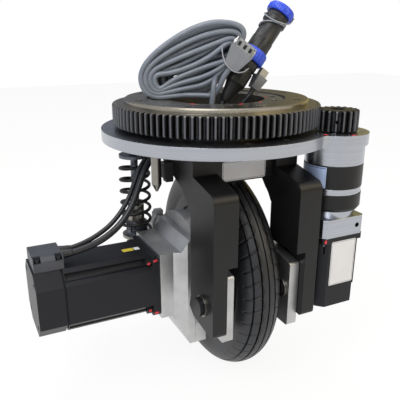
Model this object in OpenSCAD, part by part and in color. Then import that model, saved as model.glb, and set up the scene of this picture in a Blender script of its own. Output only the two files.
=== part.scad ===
// Steered and driven wheel unit of an automated guided vehicle.
// Z points up along the steering axis, X is the rolling direction and Y runs along the axle.
// z = 0 is the top face of the slewing ring, the face that bolts to the vehicle.

/* [Slewing ring] */
// Module of the ring's and the pinion's teeth
gear_module = 2.5; // [2.25:0.25:2.5]
// Teeth on the outer ring
ring_teeth = 100; // [98:1:104]
// Face width of the ring's teeth
ring_face = 24; // [20:1:26]
// Height of the raised mounting spigot above the teeth
spigot_h = 6; // [4:1:8]
// Diameter of the mounting spigot
spigot_d = 226; // [220:1:230]
// Bore of the outer ring, where the balls run
race_d = 170; // [164:1:174]
// Bore of the inner ring and of the plate
bore_d = 120; // [110:1:124]
// Diameter of the bearing balls
ball_d = 9; // [7:0.5:10]
// Number of bearing balls
ball_count = 40; // [24:1:46]
// Pitch circle of the vehicle bolts
chassis_pcd = 200; // [196:1:204]
// Diameter of the vehicle bolt holes
chassis_hole_d = 9; // [6.6:0.1:11]
// Number of vehicle bolt holes
chassis_holes = 8; // [6:1:12]
// Pitch circle of the inner ring's screws
inner_pcd = 144; // [140:1:148]
// Number of inner ring screws
inner_screws = 12; // [8:1:12]

/* [Steering plate] */
// Diameter of the plate
plate_d = 284; // [270:1:300]
// Thickness of the plate
plate_t = 13.5; // [12:0.5:16]
// Gap between the outer ring and the plate
ring_gap = 5; // [3:0.5:8]
// Radius of the lobe that carries the steering gearbox
lobe_r = 38; // [36:0.5:42]
// Radius of the fillets beside the lobe
lobe_fillet = 14; // [8:1:20]

/* [Steering drive] */
// Teeth on the steering pinion
pinion_teeth = 18; // [17:1:20]
// Face width of the pinion
pinion_face = 24; // [20:1:26]
// Direction of the pinion from the steering axis, in degrees
pinion_angle = 48; // [44:1:52]
// Diameter of the steering gearbox
steer_box_d = 70; // [64:1:74]
// Diameter of the gearbox output shaft
steer_shaft_d = 16; // [12:1:20]
// Height of the gearbox output housing
steer_head_h = 22.5; // [18:0.5:28]
// Height of the upper ring gear band
steer_upper_h = 28; // [22:1:32]
// Height of the ring between the bands
steer_mid_h = 7; // [4:1:10]
// Height of the lower ring gear band
steer_lower_h = 21; // [16:1:26]
// Height of the neck above the motor flange
steer_neck_h = 9; // [6:1:12]
// Thickness of the square motor flange
steer_flange_h = 23; // [18:1:28]
// Side of the steering motor
steer_motor_w = 60; // [56:1:62]
// Length of the steering motor
steer_motor_l = 93; // [80:1:110]

/* [Fork] */
// Inner distance of a leg from the middle plane
leg_in = 39.5; // [38:0.5:42]
// Outer distance of a leg from the middle plane
leg_out = 69.5; // [66:0.5:74]
// Front face of the legs
leg_front = 131; // [126:1:136]
// Rear face of the lower legs
leg_rear = 73; // [68:1:76]
// Length of the legs below the pivot
leg_tail = 32; // [28:1:36]

/* [Swing arm] */
// Distance of the pivot pins in front of the axle
pivot_x = 105; // [100:1:110]
// Height of axle and pivot below the mounting face
axle_drop = 222; // [218:1:228]
// Diameter of the pivot pins
pivot_d = 16; // [12:1:18]
// Inner distance of an arm from the middle plane
arm_in = 38; // [36:0.5:39]
// Thickness of the arms in front
arm_t = 13.2; // [10:0.2:13.4]
// Thickness of the arms around the axle
hub_t = 15; // [14:0.5:16]
// Radius of the arms around the axle
arm_r = 77; // [72:1:80]
// Front edge of the arms
arm_front = 121.5; // [118:0.5:125]
// Running clearance of pins and shafts
fit_gap = 0.05; // [0.03:0.01:0.08]

/* [Drive] */
// Side of the drive motor
motor_w = 80; // [76:1:84]
// Length of the drive motor body
motor_l = 112; // [100:1:124]
// Length of the motor's end cover
cover_l = 34; // [30:1:40]
// Side of the gearbox where the motor sits
box_w = 86; // [85:1:90]
// Length of the gearbox outside the arm
box_l = 43; // [40:1:48]
// Width of the gearbox's mounting flange
box_flange_w = 102; // [98:1:104]

/* [Wheel] */
// Outer diameter of the tyre
tyre_d = 276; // [264:1:280]
// Width of the tyre
tyre_w = 52; // [46:1:56]
// Height of the tyre's section above the rim
tyre_h = 52; // [46:1:56]
// Diameter of the axle in the left bearing
axle_d = 35; // [30:1:40]
// Diameter of the stub in the right bearing
stub_d = 25; // [20:1:30]

/* [Suspension] */
// Place of the shock absorber along X
shock_x = -70; // [-74:1:-68]
// Place of the shock absorber along Y
shock_y = -86; // [-90:1:-84]
// Outer diameter of the spring
spring_d = 43; // [38:1:46]
// Diameter of the spring wire
wire_d = 4.4; // [3.6:0.1:5]
// Turns of the spring
spring_turns = 6.5; // [5.5:0.5:8.5]
// Diameter of the shock's rod
rod_d = 10; // [8:1:12]

/* [Cables] */
// Diameter of the drive motor's power cable
power_d = 8; // [6:0.5:9]
// Diameter of the drive motor's encoder cable
encoder_d = 6; // [4:0.5:7]
// Diameter of the coiled control cable
control_d = 6.5; // [5:0.5:8]

/* [Hidden] */
$fn = 96;

// Paint and metal colours
steel = "#8a8c8f";
dark_steel = "#3c3e41";
alloy = "#c3c4c6";
black = "#1c1d20";
rubber = "#17181b";
grey = "#6f7784";
blue = "#2346c8";

// Heights, from the mounting face down
spare = 1;
tooth_top = -spigot_h;
ring_low = tooth_top - ring_face;
plate_top = ring_low - ring_gap;
plate_low = plate_top - plate_t;
ball_z = (tooth_top + ring_low) / 2;
inner_top = -2;
race_gap = 0.6;
axle_z = -axle_drop;

// Gear sizes
pressure = 20;
ring_pitch_r = gear_module * ring_teeth / 2;
pinion_pitch_r = gear_module * pinion_teeth / 2;
gear_centres = ring_pitch_r + pinion_pitch_r;
pinion_x = gear_centres * cos(pinion_angle);
pinion_y = gear_centres * sin(pinion_angle);
tooth_play = 0.12;
tooth_chamfer = 1.2;

// Screw sizes: shank radius, head radius and head height
m4 = [2, 3.5, 4];
m5 = [2.5, 4.25, 5];
m6 = [3, 5, 6];
m8 = [4, 6.5, 8];
screw_play = 0.1;

// Turns a point on a circle to X and Y
function polar(r, a) = [r * cos(a), r * sin(a)];

// Involute angle at a radius, in degrees
function involute(base_r, r) = let (c = min(1, base_r / r), a = acos(c)) tan(a) * 180 / PI - a;

// Half the angle of a tooth at a radius
function tooth_half(n, pitch_r, base_r, r) =
  90 / n - tooth_play / 2 / pitch_r * 180 / PI
  + involute(base_r, pitch_r) - involute(base_r, r);

// Outline of a spur gear with its first tooth on the X axis
function gear_points(n) =
  let (pitch_r = gear_module * n / 2,
       base_r = pitch_r * cos(pressure),
       tip_r = pitch_r + gear_module,
       root_r = pitch_r - 1.25 * gear_module,
       foot_r = max(base_r, root_r),
       radii = [for (k = [0 : 3]) foot_r + (tip_r - foot_r) * k / 3],
       halves = [for (r = radii) tooth_half(n, pitch_r, base_r, r)],
       rise = [for (k = [0 : 3]) [radii[k], -halves[k]]],
       fall = [for (k = [3 : -1 : 0]) [radii[k], halves[k]]],
       foot = root_r < base_r ? [[root_r, -halves[0]]] : [],
       heel = root_r < base_r ? [[root_r, halves[0]]] : [],
       tooth = concat(foot, rise, fall, heel))
  [for (i = [0 : n - 1]) for (p = tooth) polar(p[0], p[1] + i * 360 / n)];

// Spur gear whose tooth ends are chamfered
module spur_gear(n, face, turn) {
  tip_r = gear_module * n / 2 + gear_module;
  c = tooth_chamfer;
  intersection() {
    linear_extrude(face) rotate(turn) polygon(gear_points(n));
    rotate_extrude()
      polygon([[0, 0], [tip_r - c, 0], [tip_r + spare, c + spare], [tip_r + spare, face - c - spare],
        [tip_r - c, face], [0, face]]);
  }
}

// Round bar along Y between two places
module bar_y(x, z, r, y0, y1) {
  translate([x, y0, z]) rotate([-90, 0, 0]) cylinder(r = r, h = y1 - y0);
}

// Side outline in X and Z, given thickness between two places along Y
module slab_y(y0, y1) {
  translate([0, y1, 0]) rotate([90, 0, 0]) linear_extrude(y1 - y0) children();
}

// Half outline in radius and Y, turned round the axle
module wheel_turn() {
  translate([0, 0, axle_z]) rotate([-90, 0, 0]) rotate_extrude() children();
}

// Left pieces are drawn at negative Y and mirrored for the right
module side(s) {
  if (s < 0) children();
  else mirror([0, 1, 0]) children();
}

// Socket screw that points down, head seat at the origin
module socket_screw(size, length) {
  difference() {
    union() {
      cylinder(r = size[1], h = size[2]);
      translate([0, 0, -length]) cylinder(r = size[0], h = length + 0.01);
    }
    translate([0, 0, size[2] / 2]) cylinder(r = size[0] * 0.85, h = size[2], $fn = 6);
  }
}

// Hole for such a screw, with its counterbore
module screw_hole(size, length) {
  translate([0, 0, -length - spare]) cylinder(r = size[0] + screw_play, h = length + 2 * spare);
  cylinder(r = size[1] + 0.5, h = size[2] + 20);
}

// Square with cut corners, for motors and flanges
module cut_square(w, cut) {
  h = w / 2;
  polygon([[-h, -h + cut], [-h + cut, -h], [h - cut, -h], [h, -h + cut], [h, h - cut], [h - cut, h],
    [-h + cut, h], [-h, h - cut]]);
}

// Slewing ring
module race_groove() {
  rotate_extrude() translate([race_d / 2 - race_gap / 2, ball_z]) circle(r = ball_d / 2 + fit_gap, $fn = 48);
}

module gear_ring() {
  color(dark_steel) difference() {
    union() {
      translate([0, 0, ring_low]) spur_gear(ring_teeth, ring_face, pinion_angle);
      translate([0, 0, tooth_top - spare]) rotate_extrude()
        polygon([[0, 0], [spigot_d / 2, 0], [spigot_d / 2, spare + spigot_h - 1.5],
          [spigot_d / 2 - 1.5, spare + spigot_h], [0, spare + spigot_h]]);
    }
    translate([0, 0, ring_low - spare]) cylinder(d = race_d, h = -ring_low + 2 * spare);
    race_groove();
    for (i = [0 : chassis_holes - 1])
      rotate(i * 360 / chassis_holes) translate([chassis_pcd / 2, 0, ring_low - spare])
        cylinder(d = chassis_hole_d, h = -ring_low + 2 * spare, $fn = 32);
  }
}

inner_r = race_d / 2 - race_gap;
seal_w = 2.4;
seal_h = 2;
inner_seat = inner_top - m6[2] - 1;
module ring_screw_places() {
  for (i = [0 : inner_screws - 1])
    rotate((i + 0.5) * 360 / inner_screws) translate([inner_pcd / 2, 0, inner_seat]) children();
}

module inner_ring() {
  color(steel) difference() {
    translate([0, 0, plate_top]) cylinder(r = inner_r, h = inner_top - plate_top);
    translate([0, 0, plate_top - spare]) cylinder(d = bore_d, h = -plate_top + spare);
    race_groove();
    translate([0, 0, inner_top - seal_h]) difference() {
      cylinder(r = inner_r + spare, h = seal_h + spare);
      translate([0, 0, -spare]) cylinder(r = inner_r - seal_w, h = seal_h + 3 * spare);
    }
    ring_screw_places() screw_hole(m6, inner_seat - plate_top);
  }
}

module bearing_balls() {
  color("#b9bbbd") for (i = [0 : ball_count - 1])
    rotate(i * 360 / ball_count) translate([race_d / 2 - race_gap / 2, 0, ball_z])
      sphere(d = ball_d, $fn = 32);
}

module ring_seal() {
  color(rubber) translate([0, 0, inner_top - seal_h]) difference() {
    cylinder(r = inner_r + race_gap / 2, h = seal_h);
    translate([0, 0, -spare]) cylinder(r = inner_r - seal_w, h = seal_h + 2 * spare);
  }
}

ring_screw_reach = 11;
module ring_screws() {
  color(dark_steel) ring_screw_places()
    socket_screw(m6, inner_seat - plate_top + ring_screw_reach);
}

// Steering plate
lobe_span = plate_d / 2 + lobe_fillet;
lobe_side = lobe_r + lobe_fillet;
lobe_open = acos((lobe_span * lobe_span + gear_centres * gear_centres - lobe_side * lobe_side)
  / (2 * lobe_span * gear_centres));
module plate_outline() {
  circle(d = plate_d, $fn = 180);
  translate([pinion_x, pinion_y]) circle(r = lobe_r);
  for (s = [-1, 1]) {
    corner = polar(lobe_span, pinion_angle + s * lobe_open);
    difference() {
      polygon([[0, 0], corner, [pinion_x, pinion_y]]);
      translate(corner) circle(r = lobe_fillet);
    }
  }
}

// Fork screws in X and Y, in both legs and in the bridge
bridge_rear = 45;
leg_mid = (leg_in + leg_out) / 2;
fork_places = [[leg_rear - 3, leg_mid - 7], [leg_rear - 3, leg_mid + 8], [leg_rear - 38, leg_mid + 6],
  [leg_rear - 11, leg_in - 9.5]];
fork_seat = plate_top - m8[2] - 0.2;
fork_reach = 22;
steer_screw_r = steer_box_d / 2 - 7;
pilot_r = steer_shaft_d / 2 + 9;
lobe_seat = plate_top - m5[2] - 0.2;
plate_screw_r = 123;
plate_screw_step = 22.5;

module fork_screw_places() {
  for (p = fork_places)
    for (s = [-1, 1])
      translate([p[0], s * p[1], fork_seat]) children();
}

module lobe_screw_places() {
  for (i = [0 : 3])
    translate([pinion_x, pinion_y, lobe_seat]) rotate(45 + i * 90) translate([steer_screw_r, 0, 0])
      children();
}

module plate_screw_places() {
  for (s = [-0.5, 0.5])
    rotate(s * plate_screw_step) translate([plate_screw_r, 0, plate_top - m5[2]]) children();
}

module steering_plate() {
  color(alloy) difference() {
    translate([0, 0, plate_low]) linear_extrude(plate_t) plate_outline();
    translate([0, 0, plate_low - spare]) cylinder(d = bore_d, h = plate_t + 2 * spare);
    ring_screw_places() screw_hole(m6, inner_seat - plate_top + ring_screw_reach);
    fork_screw_places() screw_hole(m8, plate_t);
    lobe_screw_places() screw_hole(m5, plate_t);
    plate_screw_places() cylinder(r = m5[1] + screw_play, h = m5[2] + spare, $fn = 32);
    translate([pinion_x, pinion_y, plate_low - spare]) cylinder(r = pilot_r, h = plate_t + 2 * spare);
  }
}

module plate_screws() {
  color(steel) plate_screw_places() difference() {
    cylinder(r = m5[1], h = m5[2], $fn = 32);
    translate([0, 0, m5[2] / 2]) cylinder(r = m5[0] * 0.85, h = m5[2], $fn = 6);
  }
}

// Fork: each leg is a casting with a long foot under the plate and a lug below the step
foot_rear = leg_rear - 85;
foot_low = plate_low - 24;
neck_front = leg_rear + 7;
leg_low = axle_z - leg_tail;
arm_lift = 53;
leg_step = axle_z + arm_lift;
shoulder_z = plate_low - 27;
shoulder_r = 12;
leg_round = 6;
module leg_outline() {
  difference() {
    union() {
      polygon([[foot_rear, plate_low], [neck_front, plate_low], [neck_front, shoulder_z],
        [leg_front - shoulder_r, shoulder_z - 8], [leg_front, shoulder_z - 8 - shoulder_r],
        [leg_front, leg_low + leg_round], [leg_front - leg_round, leg_low], [leg_rear + 8, leg_low + 6],
        [leg_rear - 4, leg_low + 15], [leg_rear, leg_low + 30], [leg_rear, shoulder_z - 46],
        [leg_rear - 22, shoulder_z - 22], [foot_rear, foot_low]]);
      translate([leg_front - shoulder_r, shoulder_z - 8 - shoulder_r]) circle(r = shoulder_r);
      translate([leg_front - leg_round, leg_low + leg_round]) circle(r = leg_round);
    }
    // Hollow of the casting's inside corner
    translate([leg_rear - 30, shoulder_z - 56]) circle(r = 30);
  }
}

arm_out = arm_in + arm_t;
lug_in = arm_out + 0.6;
module fork_leg() {
  difference() {
    slab_y(-leg_out, -leg_in) leg_outline();
    // Room for the swing arm below the step
    translate([0, -lug_in, leg_low - spare])
      cube([leg_front + spare, lug_in, leg_step - leg_low + spare]);
    bar_y(pivot_x, axle_z, pivot_d / 2 + 0.02, -leg_out - spare, -leg_in);
    fork_screw_places() screw_hole(m8, fork_reach);
  }
}

module fork_left() {
  color(black) side(-1) fork_leg();
}

module fork_right() {
  color(black) side(1) fork_leg();
}

// The bridge's underside keeps clear of the tyre
bridge_lip = 6;
bridge_room = 10.5;
bridge_room_rear = 16.3;
function over_tyre(x, room) = axle_z + sqrt(pow(tyre_r + room, 2) - x * x);
module fork_bridge() {
  bridge_low = over_tyre(leg_rear - bridge_lip, bridge_room);
  color(black) difference() {
    slab_y(-leg_in, leg_in)
      polygon([[bridge_rear, plate_low], [leg_rear, plate_low], [leg_rear, bridge_low],
        [leg_rear - bridge_lip, bridge_low], [bridge_rear, over_tyre(bridge_rear, bridge_room_rear)]]);
    fork_screw_places() screw_hole(m8, fork_reach);
  }
}

module fork_screws() {
  color(dark_steel) fork_screw_places() socket_screw(m8, fork_reach);
}

// Pivot pins: headed outside the lugs, held by a washer and a ring inside the arms
pin_head_r = pivot_d / 2 + 3;
pin_head_t = 6;
ring_t = 2;
pin_end = arm_in - 4;
module pivot_pins() {
  color(black) for (s = [-1, 1]) side(s) {
    bar_y(pivot_x, axle_z, pin_head_r, -leg_out - ring_t - pin_head_t, -leg_out - ring_t);
    bar_y(pivot_x, axle_z, pivot_d / 2, -leg_out - ring_t - 0.01, -pin_end);
  }
}

module pivot_rings() {
  color(steel) for (s = [-1, 1]) side(s) {
    difference() {
      union() {
        bar_y(pivot_x, axle_z, pin_head_r + 1.5, -leg_out - ring_t, -leg_out);
        bar_y(pivot_x, axle_z, pivot_d / 2 + 4, -arm_in + 0.3, -arm_in + 0.3 + ring_t);
      }
      bar_y(pivot_x, axle_z, pivot_d / 2 + 0.02, -leg_out - ring_t - spare, 0);
    }
  }
}

// Stop pin and limit switch under the plate
stop_x = 20;
stop_y = -89;
stop_r = 6;
stop_l = 57;
module stop_pin() {
  color("#b3ada0") translate([stop_x, stop_y, plate_low]) rotate_extrude()
    polygon([[0, 0], [stop_r + 2, 0], [stop_r + 2, -5], [stop_r, -5], [stop_r, 9 - stop_l],
      [1.5, -stop_l], [0, -stop_l]]);
}

sensor_w = 11;
sensor_top = plate_low - 22;
sensor_h = 24;
module limit_sensor() {
  color(black) difference() {
    translate([stop_x - sensor_w / 2, -leg_out - sensor_w, sensor_top - sensor_h])
      cube([sensor_w, sensor_w, sensor_h]);
    translate([stop_x, -leg_out - sensor_w - spare, sensor_top - 4])
      rotate([-90, 0, 0]) cylinder(r = 1.6, h = sensor_w + 2 * spare, $fn = 24);
    translate([stop_x - sensor_w, -leg_out - sensor_w - spare, sensor_top - sensor_h - spare])
      cube([2 * sensor_w, 3, 5]);
  }
}

// Steering gearbox and motor, stacked under the lobe
head_low = plate_low - steer_head_h;
upper_low = head_low - steer_upper_h;
mid_low = upper_low - steer_mid_h;
lower_low = mid_low - steer_lower_h;
neck_low = lower_low - steer_neck_h;
flange_low = neck_low - steer_flange_h;
steer_low = flange_low - steer_motor_l;
base_h = 26;
steer_r = steer_box_d / 2;
shaft_play = 0.4;

module at_pinion(z) {
  translate([pinion_x, pinion_y, z]) children();
}

module steer_head() {
  color(alloy) difference() {
    union() {
      at_pinion(head_low) cylinder(r = steer_r, h = steer_head_h);
      at_pinion(plate_low - 0.01) cylinder(r = pilot_r - fit_gap, h = 6);
    }
    at_pinion(head_low + 4) cylinder(r = steer_shaft_d / 2 + shaft_play, h = steer_head_h + 10);
    lobe_screw_places() screw_hole(m5, plate_t + 8);
  }
}

module band(z, h, groove) {
  rotate_extrude() translate([0, z])
    polygon([[0, 0], [steer_r - 0.8, 0], [steer_r, 0.8], [steer_r, h - groove],
      [steer_r - groove * 0.7, h], [0, h]]);
}

module steer_upper_band() {
  color(black) at_pinion(0) band(upper_low, steer_upper_h, 0.8);
}

module steer_mid_ring() {
  color(alloy) at_pinion(mid_low) cylinder(r = steer_r - 0.6, h = steer_mid_h);
}

module steer_lower_band() {
  color(black) at_pinion(0) mirror([0, 0, 1]) band(-mid_low, steer_lower_h, 4);
}

flange_cut = 4;
motor_bolt = steer_motor_w / 2 - 7;
module steer_motor_places() {
  for (x = [-1, 1])
    for (y = [-1, 1])
      at_pinion(flange_low) translate([x * motor_bolt, y * motor_bolt, 0]) children();
}

module steer_adapter() {
  color(alloy) difference() {
    union() {
      at_pinion(neck_low) cylinder(r1 = steer_motor_w / 2 - 1, r2 = steer_r - 4, h = steer_neck_h);
      at_pinion(flange_low) linear_extrude(steer_flange_h) cut_square(steer_motor_w, flange_cut);
    }
    steer_motor_places() translate([0, 0, -spare]) cylinder(r = m4[0] + screw_play, h = 9 + spare, $fn = 24);
    // Clamp screw hole in the front face
    at_pinion(flange_low + steer_flange_h / 2) translate([0, motor_bolt - 4, 0]) rotate([0, 90, 0])
      cylinder(r = 3, h = steer_motor_w, $fn = 32);
  }
}

motor_cut = 8.5;
head_slot = 14;
module steer_motor() {
  color(black) difference() {
    union() {
      at_pinion(flange_low - 7) linear_extrude(7) cut_square(steer_motor_w, 3);
      at_pinion(steer_low + base_h) linear_extrude(steer_motor_l - base_h - 6.99)
        cut_square(steer_motor_w, motor_cut);
    }
    steer_motor_places() {
      translate([0, 0, -7 - spare]) cylinder(r = m4[0] + screw_play, h = 7 + 2 * spare, $fn = 24);
      translate([0, 0, -7 - head_slot]) cylinder(r = m4[1] + 0.4, h = head_slot, $fn = 24);
    }
  }
}

module steer_motor_base() {
  color(black) at_pinion(steer_low) linear_extrude(base_h) cut_square(steer_motor_w - 2, motor_cut);
}

module steer_sockets() {
  color(black) for (k = [0, 1])
    at_pinion(steer_low + 4 + k * 12) translate([-14 + k * 3, steer_motor_w / 2 - 1, 0]) difference() {
      cube([20 - k * 4, 12 - k * 3, 9]);
      translate([2, 6 - k * 2, 2]) cube([16 - k * 4, 12, 5]);
    }
}

module steer_screws() {
  color(dark_steel) {
    lobe_screw_places() socket_screw(m5, plate_t + 2);
    steer_motor_places() translate([0, 0, -7]) mirror([0, 0, 1]) socket_screw(m4, 14);
  }
}

// Clamp that holds the cables at the rear of the bore
clamp_front = -47;
clamp_l = 26;
clamp_w = 44;
clamp_h = 14;
clamp_hole_y = 10;
clamp_z = plate_low - 8;
clamp_screw_x = clamp_front - clamp_l + 7;
module cable_clamp() {
  color(black) difference() {
    translate([clamp_front - clamp_l, -clamp_w / 2, plate_low - clamp_h]) cube([clamp_l, clamp_w, clamp_h]);
    translate([clamp_front - 6, clamp_hole_y, clamp_z]) rotate([0, 90, 0])
      cylinder(r = control_d / 2 + 0.3, h = 8, $fn = 32);
    for (s = [-1, 1])
      translate([clamp_screw_x, s * (clamp_w / 2 - 6), plate_low - clamp_h - spare])
        cylinder(r = m4[0] + screw_play, h = clamp_h + 2 * spare, $fn = 24);
  }
}

// Shock absorber: rod and seat hang from a clevis under the plate, the tube stands on the arm's stud
top_eye_z = plate_low - 14;
foot_eye_z = axle_z + 14;
seat_top_z = plate_low - 30;
seat_low_z = foot_eye_z + 17;
seat_r = spring_d / 2 - 1.5;
seat_t = 4;
eye_w = 14;
eye_r = 8;
eye_pin_r = 4;
tube_r = rod_d / 2 + 6;
tube_top = seat_low_z + 42;
ear_t = 7;
ear_gap = 0.4;

module shock_bracket() {
  color(black) difference() {
    translate([shock_x - 10, shock_y - eye_w / 2 - ear_gap - ear_t, top_eye_z - 8])
      cube([20, eye_w + 2 * ear_gap + 2 * ear_t, plate_low - top_eye_z + 8]);
    translate([shock_x - 10 - spare, shock_y - eye_w / 2 - ear_gap, top_eye_z - 8 - spare])
      cube([20 + 2 * spare, eye_w + 2 * ear_gap, plate_low - top_eye_z + 5]);
    bar_y(shock_x, top_eye_z, eye_pin_r + 0.02, shock_y - 30, shock_y + 30);
  }
}

ear_reach = eye_w / 2 + ear_gap + ear_t;
module shock_top_pin() {
  color(steel) {
    bar_y(shock_x, top_eye_z, eye_pin_r, shock_y - ear_reach - 2, shock_y + ear_reach);
    bar_y(shock_x, top_eye_z, eye_pin_r + 2.5, shock_y - ear_reach - 4, shock_y - ear_reach);
  }
}

rod_end = seat_low_z + 20;
module shock_rod() {
  color(grey) difference() {
    union() {
      bar_y(shock_x, top_eye_z, eye_r, shock_y - eye_w / 2, shock_y + eye_w / 2);
      translate([shock_x, shock_y, seat_top_z - seat_t]) cylinder(r = seat_r, h = seat_t);
      translate([shock_x, shock_y, seat_top_z - seat_t])
        cylinder(r = eye_w / 2 - 0.5, h = top_eye_z - seat_top_z);
      translate([shock_x, shock_y, rod_end]) cylinder(d = rod_d, h = seat_top_z - rod_end);
    }
    bar_y(shock_x, top_eye_z, eye_pin_r + fit_gap, shock_y - eye_w, shock_y + eye_w);
  }
}

// Round wire wound up a helix, as one closed skin
coil_sides = 8;
coil_steps = 18;
spring_r = (spring_d - wire_d) / 2;
spring_low = seat_low_z + wire_d / 2 + 0.15;
spring_high = seat_top_z - seat_t - wire_d / 2 - 0.15;
function coil_point(t) = [spring_r * cos(360 * t), spring_r * sin(360 * t),
  spring_low + (spring_high - spring_low) * t / spring_turns];
function coil_ring(t) = [for (k = [0 : coil_sides - 1])
  let (a = 360 * t, b = 360 * k / coil_sides, c = coil_point(t))
  c + wire_d / 2 * [cos(a) * cos(b), sin(a) * cos(b), sin(b)]];
module shock_spring() {
  rings = round(spring_turns * coil_steps);
  points = [for (i = [0 : rings]) each coil_ring(i / coil_steps)];
  sides = [for (i = [0 : rings - 1]) for (k = [0 : coil_sides - 1])
    [i * coil_sides + k, i * coil_sides + (k + 1) % coil_sides,
     (i + 1) * coil_sides + (k + 1) % coil_sides, (i + 1) * coil_sides + k]];
  first = [[for (k = [coil_sides - 1 : -1 : 0]) k]];
  last = [[for (k = [0 : coil_sides - 1]) rings * coil_sides + k]];
  color(black) translate([shock_x, shock_y, 0]) polyhedron(points, concat(first, sides, last));
}

rod_play = 1.2;
tube_low = foot_eye_z + eye_r + 0.5;
module shock_tube() {
  color(black) difference() {
    union() {
      bar_y(shock_x, foot_eye_z, eye_r + 2, shock_y - eye_w / 2, shock_y + eye_w / 2);
      translate([shock_x, shock_y, tube_low]) cylinder(r = tube_r, h = tube_top - tube_low);
      translate([shock_x, shock_y, seat_low_z - seat_t]) cylinder(r = seat_r, h = seat_t);
    }
    translate([shock_x, shock_y, seat_low_z + 2])
      cylinder(r = rod_d / 2 + rod_play, h = tube_top - seat_low_z);
    bar_y(shock_x, foot_eye_z, eye_pin_r + 2 + fit_gap, shock_y - eye_w, shock_y + eye_w);
  }
}

nut_r = tube_r + 3.5;
nut_h = 18;
nut_slots = 8;
module preload_nut() {
  color(steel) translate([shock_x, shock_y, seat_low_z]) difference() {
    cylinder(r = nut_r, h = nut_h);
    translate([0, 0, -spare]) cylinder(r = tube_r + 0.02, h = nut_h + 2 * spare);
    for (i = [0 : nut_slots - 1])
      rotate(i * 360 / nut_slots) translate([nut_r - 1.6, -2, 4]) cube([4, 4, nut_h - 8]);
    translate([0, 0, nut_h / 2 - 0.6]) difference() {
      cylinder(r = nut_r + spare, h = 1.2);
      translate([0, 0, -spare]) cylinder(r = nut_r - 1.2, h = 4);
    }
  }
}

// Steering pinion on its shaft
pinion_low = plate_top + 1.2;
module pinion() {
  color(dark_steel) difference() {
    at_pinion(pinion_low)
      spur_gear(pinion_teeth, pinion_face, pinion_angle + 180 + 180 / pinion_teeth);
    at_pinion(pinion_low - spare) cylinder(d = steer_shaft_d, h = pinion_face + 2 * spare);
    at_pinion(pinion_low + pinion_face / 2) rotate([0, 90, -40])
      cylinder(r = m4[0] + screw_play, h = pinion_pitch_r + 2 * gear_module, $fn = 24);
  }
}

module pinion_shaft() {
  color(steel) difference() {
    at_pinion(head_low + 4.4) cylinder(d = steer_shaft_d, h = pinion_low + pinion_face - head_low - 4.4 - 2);
    at_pinion(pinion_low + pinion_face - 8) cylinder(r = 2.5, h = 10, $fn = 24);
  }
}

module pinion_set_screw() {
  color(black) at_pinion(pinion_low + pinion_face / 2) rotate([0, 90, -40])
    translate([0, 0, steer_shaft_d / 2]) difference() {
      cylinder(r = m4[0], h = 7, $fn = 24);
      translate([0, 0, 4]) cylinder(r = 1, h = 4, $fn = 6);
    }
}

// Swing arms: plates that are round at the axle and reach forward to the pivot
arm_top_rear = axle_z + arm_lift + 1;
arm_top_front = axle_z + 37.4;
arm_low = axle_z - 46;
lug_room = 5;
flange_drop = 85;
module arm_reach() {
  polygon([[0, arm_top_rear], [arm_front - 80, arm_top_rear - 1], [arm_front - 2, arm_top_front],
    [arm_front, arm_top_front - 2], [arm_front, arm_low + 2], [arm_front - 2, arm_low], [0, arm_low]]);
}

module arm_plate() {
  slab_y(-arm_out, -arm_in) arm_reach();
  bar_y(0, axle_z, arm_r, -arm_out, -arm_in);
  // Full thickness only behind the fork's lugs
  intersection() {
    bar_y(0, axle_z, arm_r, -arm_in - hub_t, -arm_in);
    translate([-arm_r - spare, -arm_in - hub_t - spare, axle_z - arm_r - spare])
      cube([arm_r + leg_rear - lug_room, hub_t + 2 * spare, 2 * arm_r + 2 * spare]);
  }
}

left_bearing_r = axle_d / 2 + 18.5;
right_bearing_r = stub_d / 2 + 13.5;
bush_r = pivot_d / 2 + 4;
box_bolt = [box_flange_w / 2 - 10, 38];
box_head = m6[2] + 0.5;
box_grip = 10;
lug_screw_y = -arm_in - hub_t;
lug_low = axle_z - 4;
lug_high = axle_z + 65;
lug_front = -box_flange_w / 2 - 1.5;
lug_rear = shock_x - 14;
lug_out = 17.5;
lug_screws = [[lug_front - 6.5, axle_z + 1], [lug_front - 6.5, axle_z + 43]];
lug_seat = lug_screw_y - 5.5;

module lug_screw_holes(depth) {
  for (p = lug_screws) {
    bar_y(p[0], p[1], m6[0] + screw_play, lug_seat - spare, lug_screw_y + depth);
    bar_y(p[0], p[1], m6[1] + 0.5, lug_screw_y - lug_out - spare, lug_seat);
  }
}

module box_screw_places() {
  for (x = [-1, 1])
    for (z = [-1, 1])
      translate([x * box_bolt[0], 0, axle_z - 14 + z * box_bolt[1]]) children();
}

module arm_left() {
  color(alloy) difference() {
    union() {
      arm_plate();
      slab_y(-arm_in - hub_t, -arm_in)
        polygon([[-box_flange_w / 2, axle_z - flange_drop], [box_flange_w / 2, axle_z - flange_drop],
          [box_flange_w / 2, axle_z], [-box_flange_w / 2, axle_z]]);
    }
    bar_y(pivot_x, axle_z, bush_r, -leg_out, 0);
    bar_y(0, axle_z, left_bearing_r, -leg_out, 0);
    lug_screw_holes(hub_t - 3);
    box_screw_places() {
      bar_y(0, 0, m6[0] + screw_play, -arm_in - hub_t - spare, -arm_in + spare);
      bar_y(0, 0, m6[1] + 0.5, -arm_in - box_head, -arm_in + spare);
    }
  }
}

boss_t = 4;
module arm_right() {
  color(alloy) side(1) difference() {
    union() {
      arm_plate();
      // Bearing boss on the inner face
      bar_y(0, axle_z, right_bearing_r + 8, -arm_in - 0.01, -arm_in + boss_t);
    }
    bar_y(pivot_x, axle_z, bush_r, -leg_out, 0);
    bar_y(0, axle_z, right_bearing_r, -leg_out, 0);
  }
}

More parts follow.
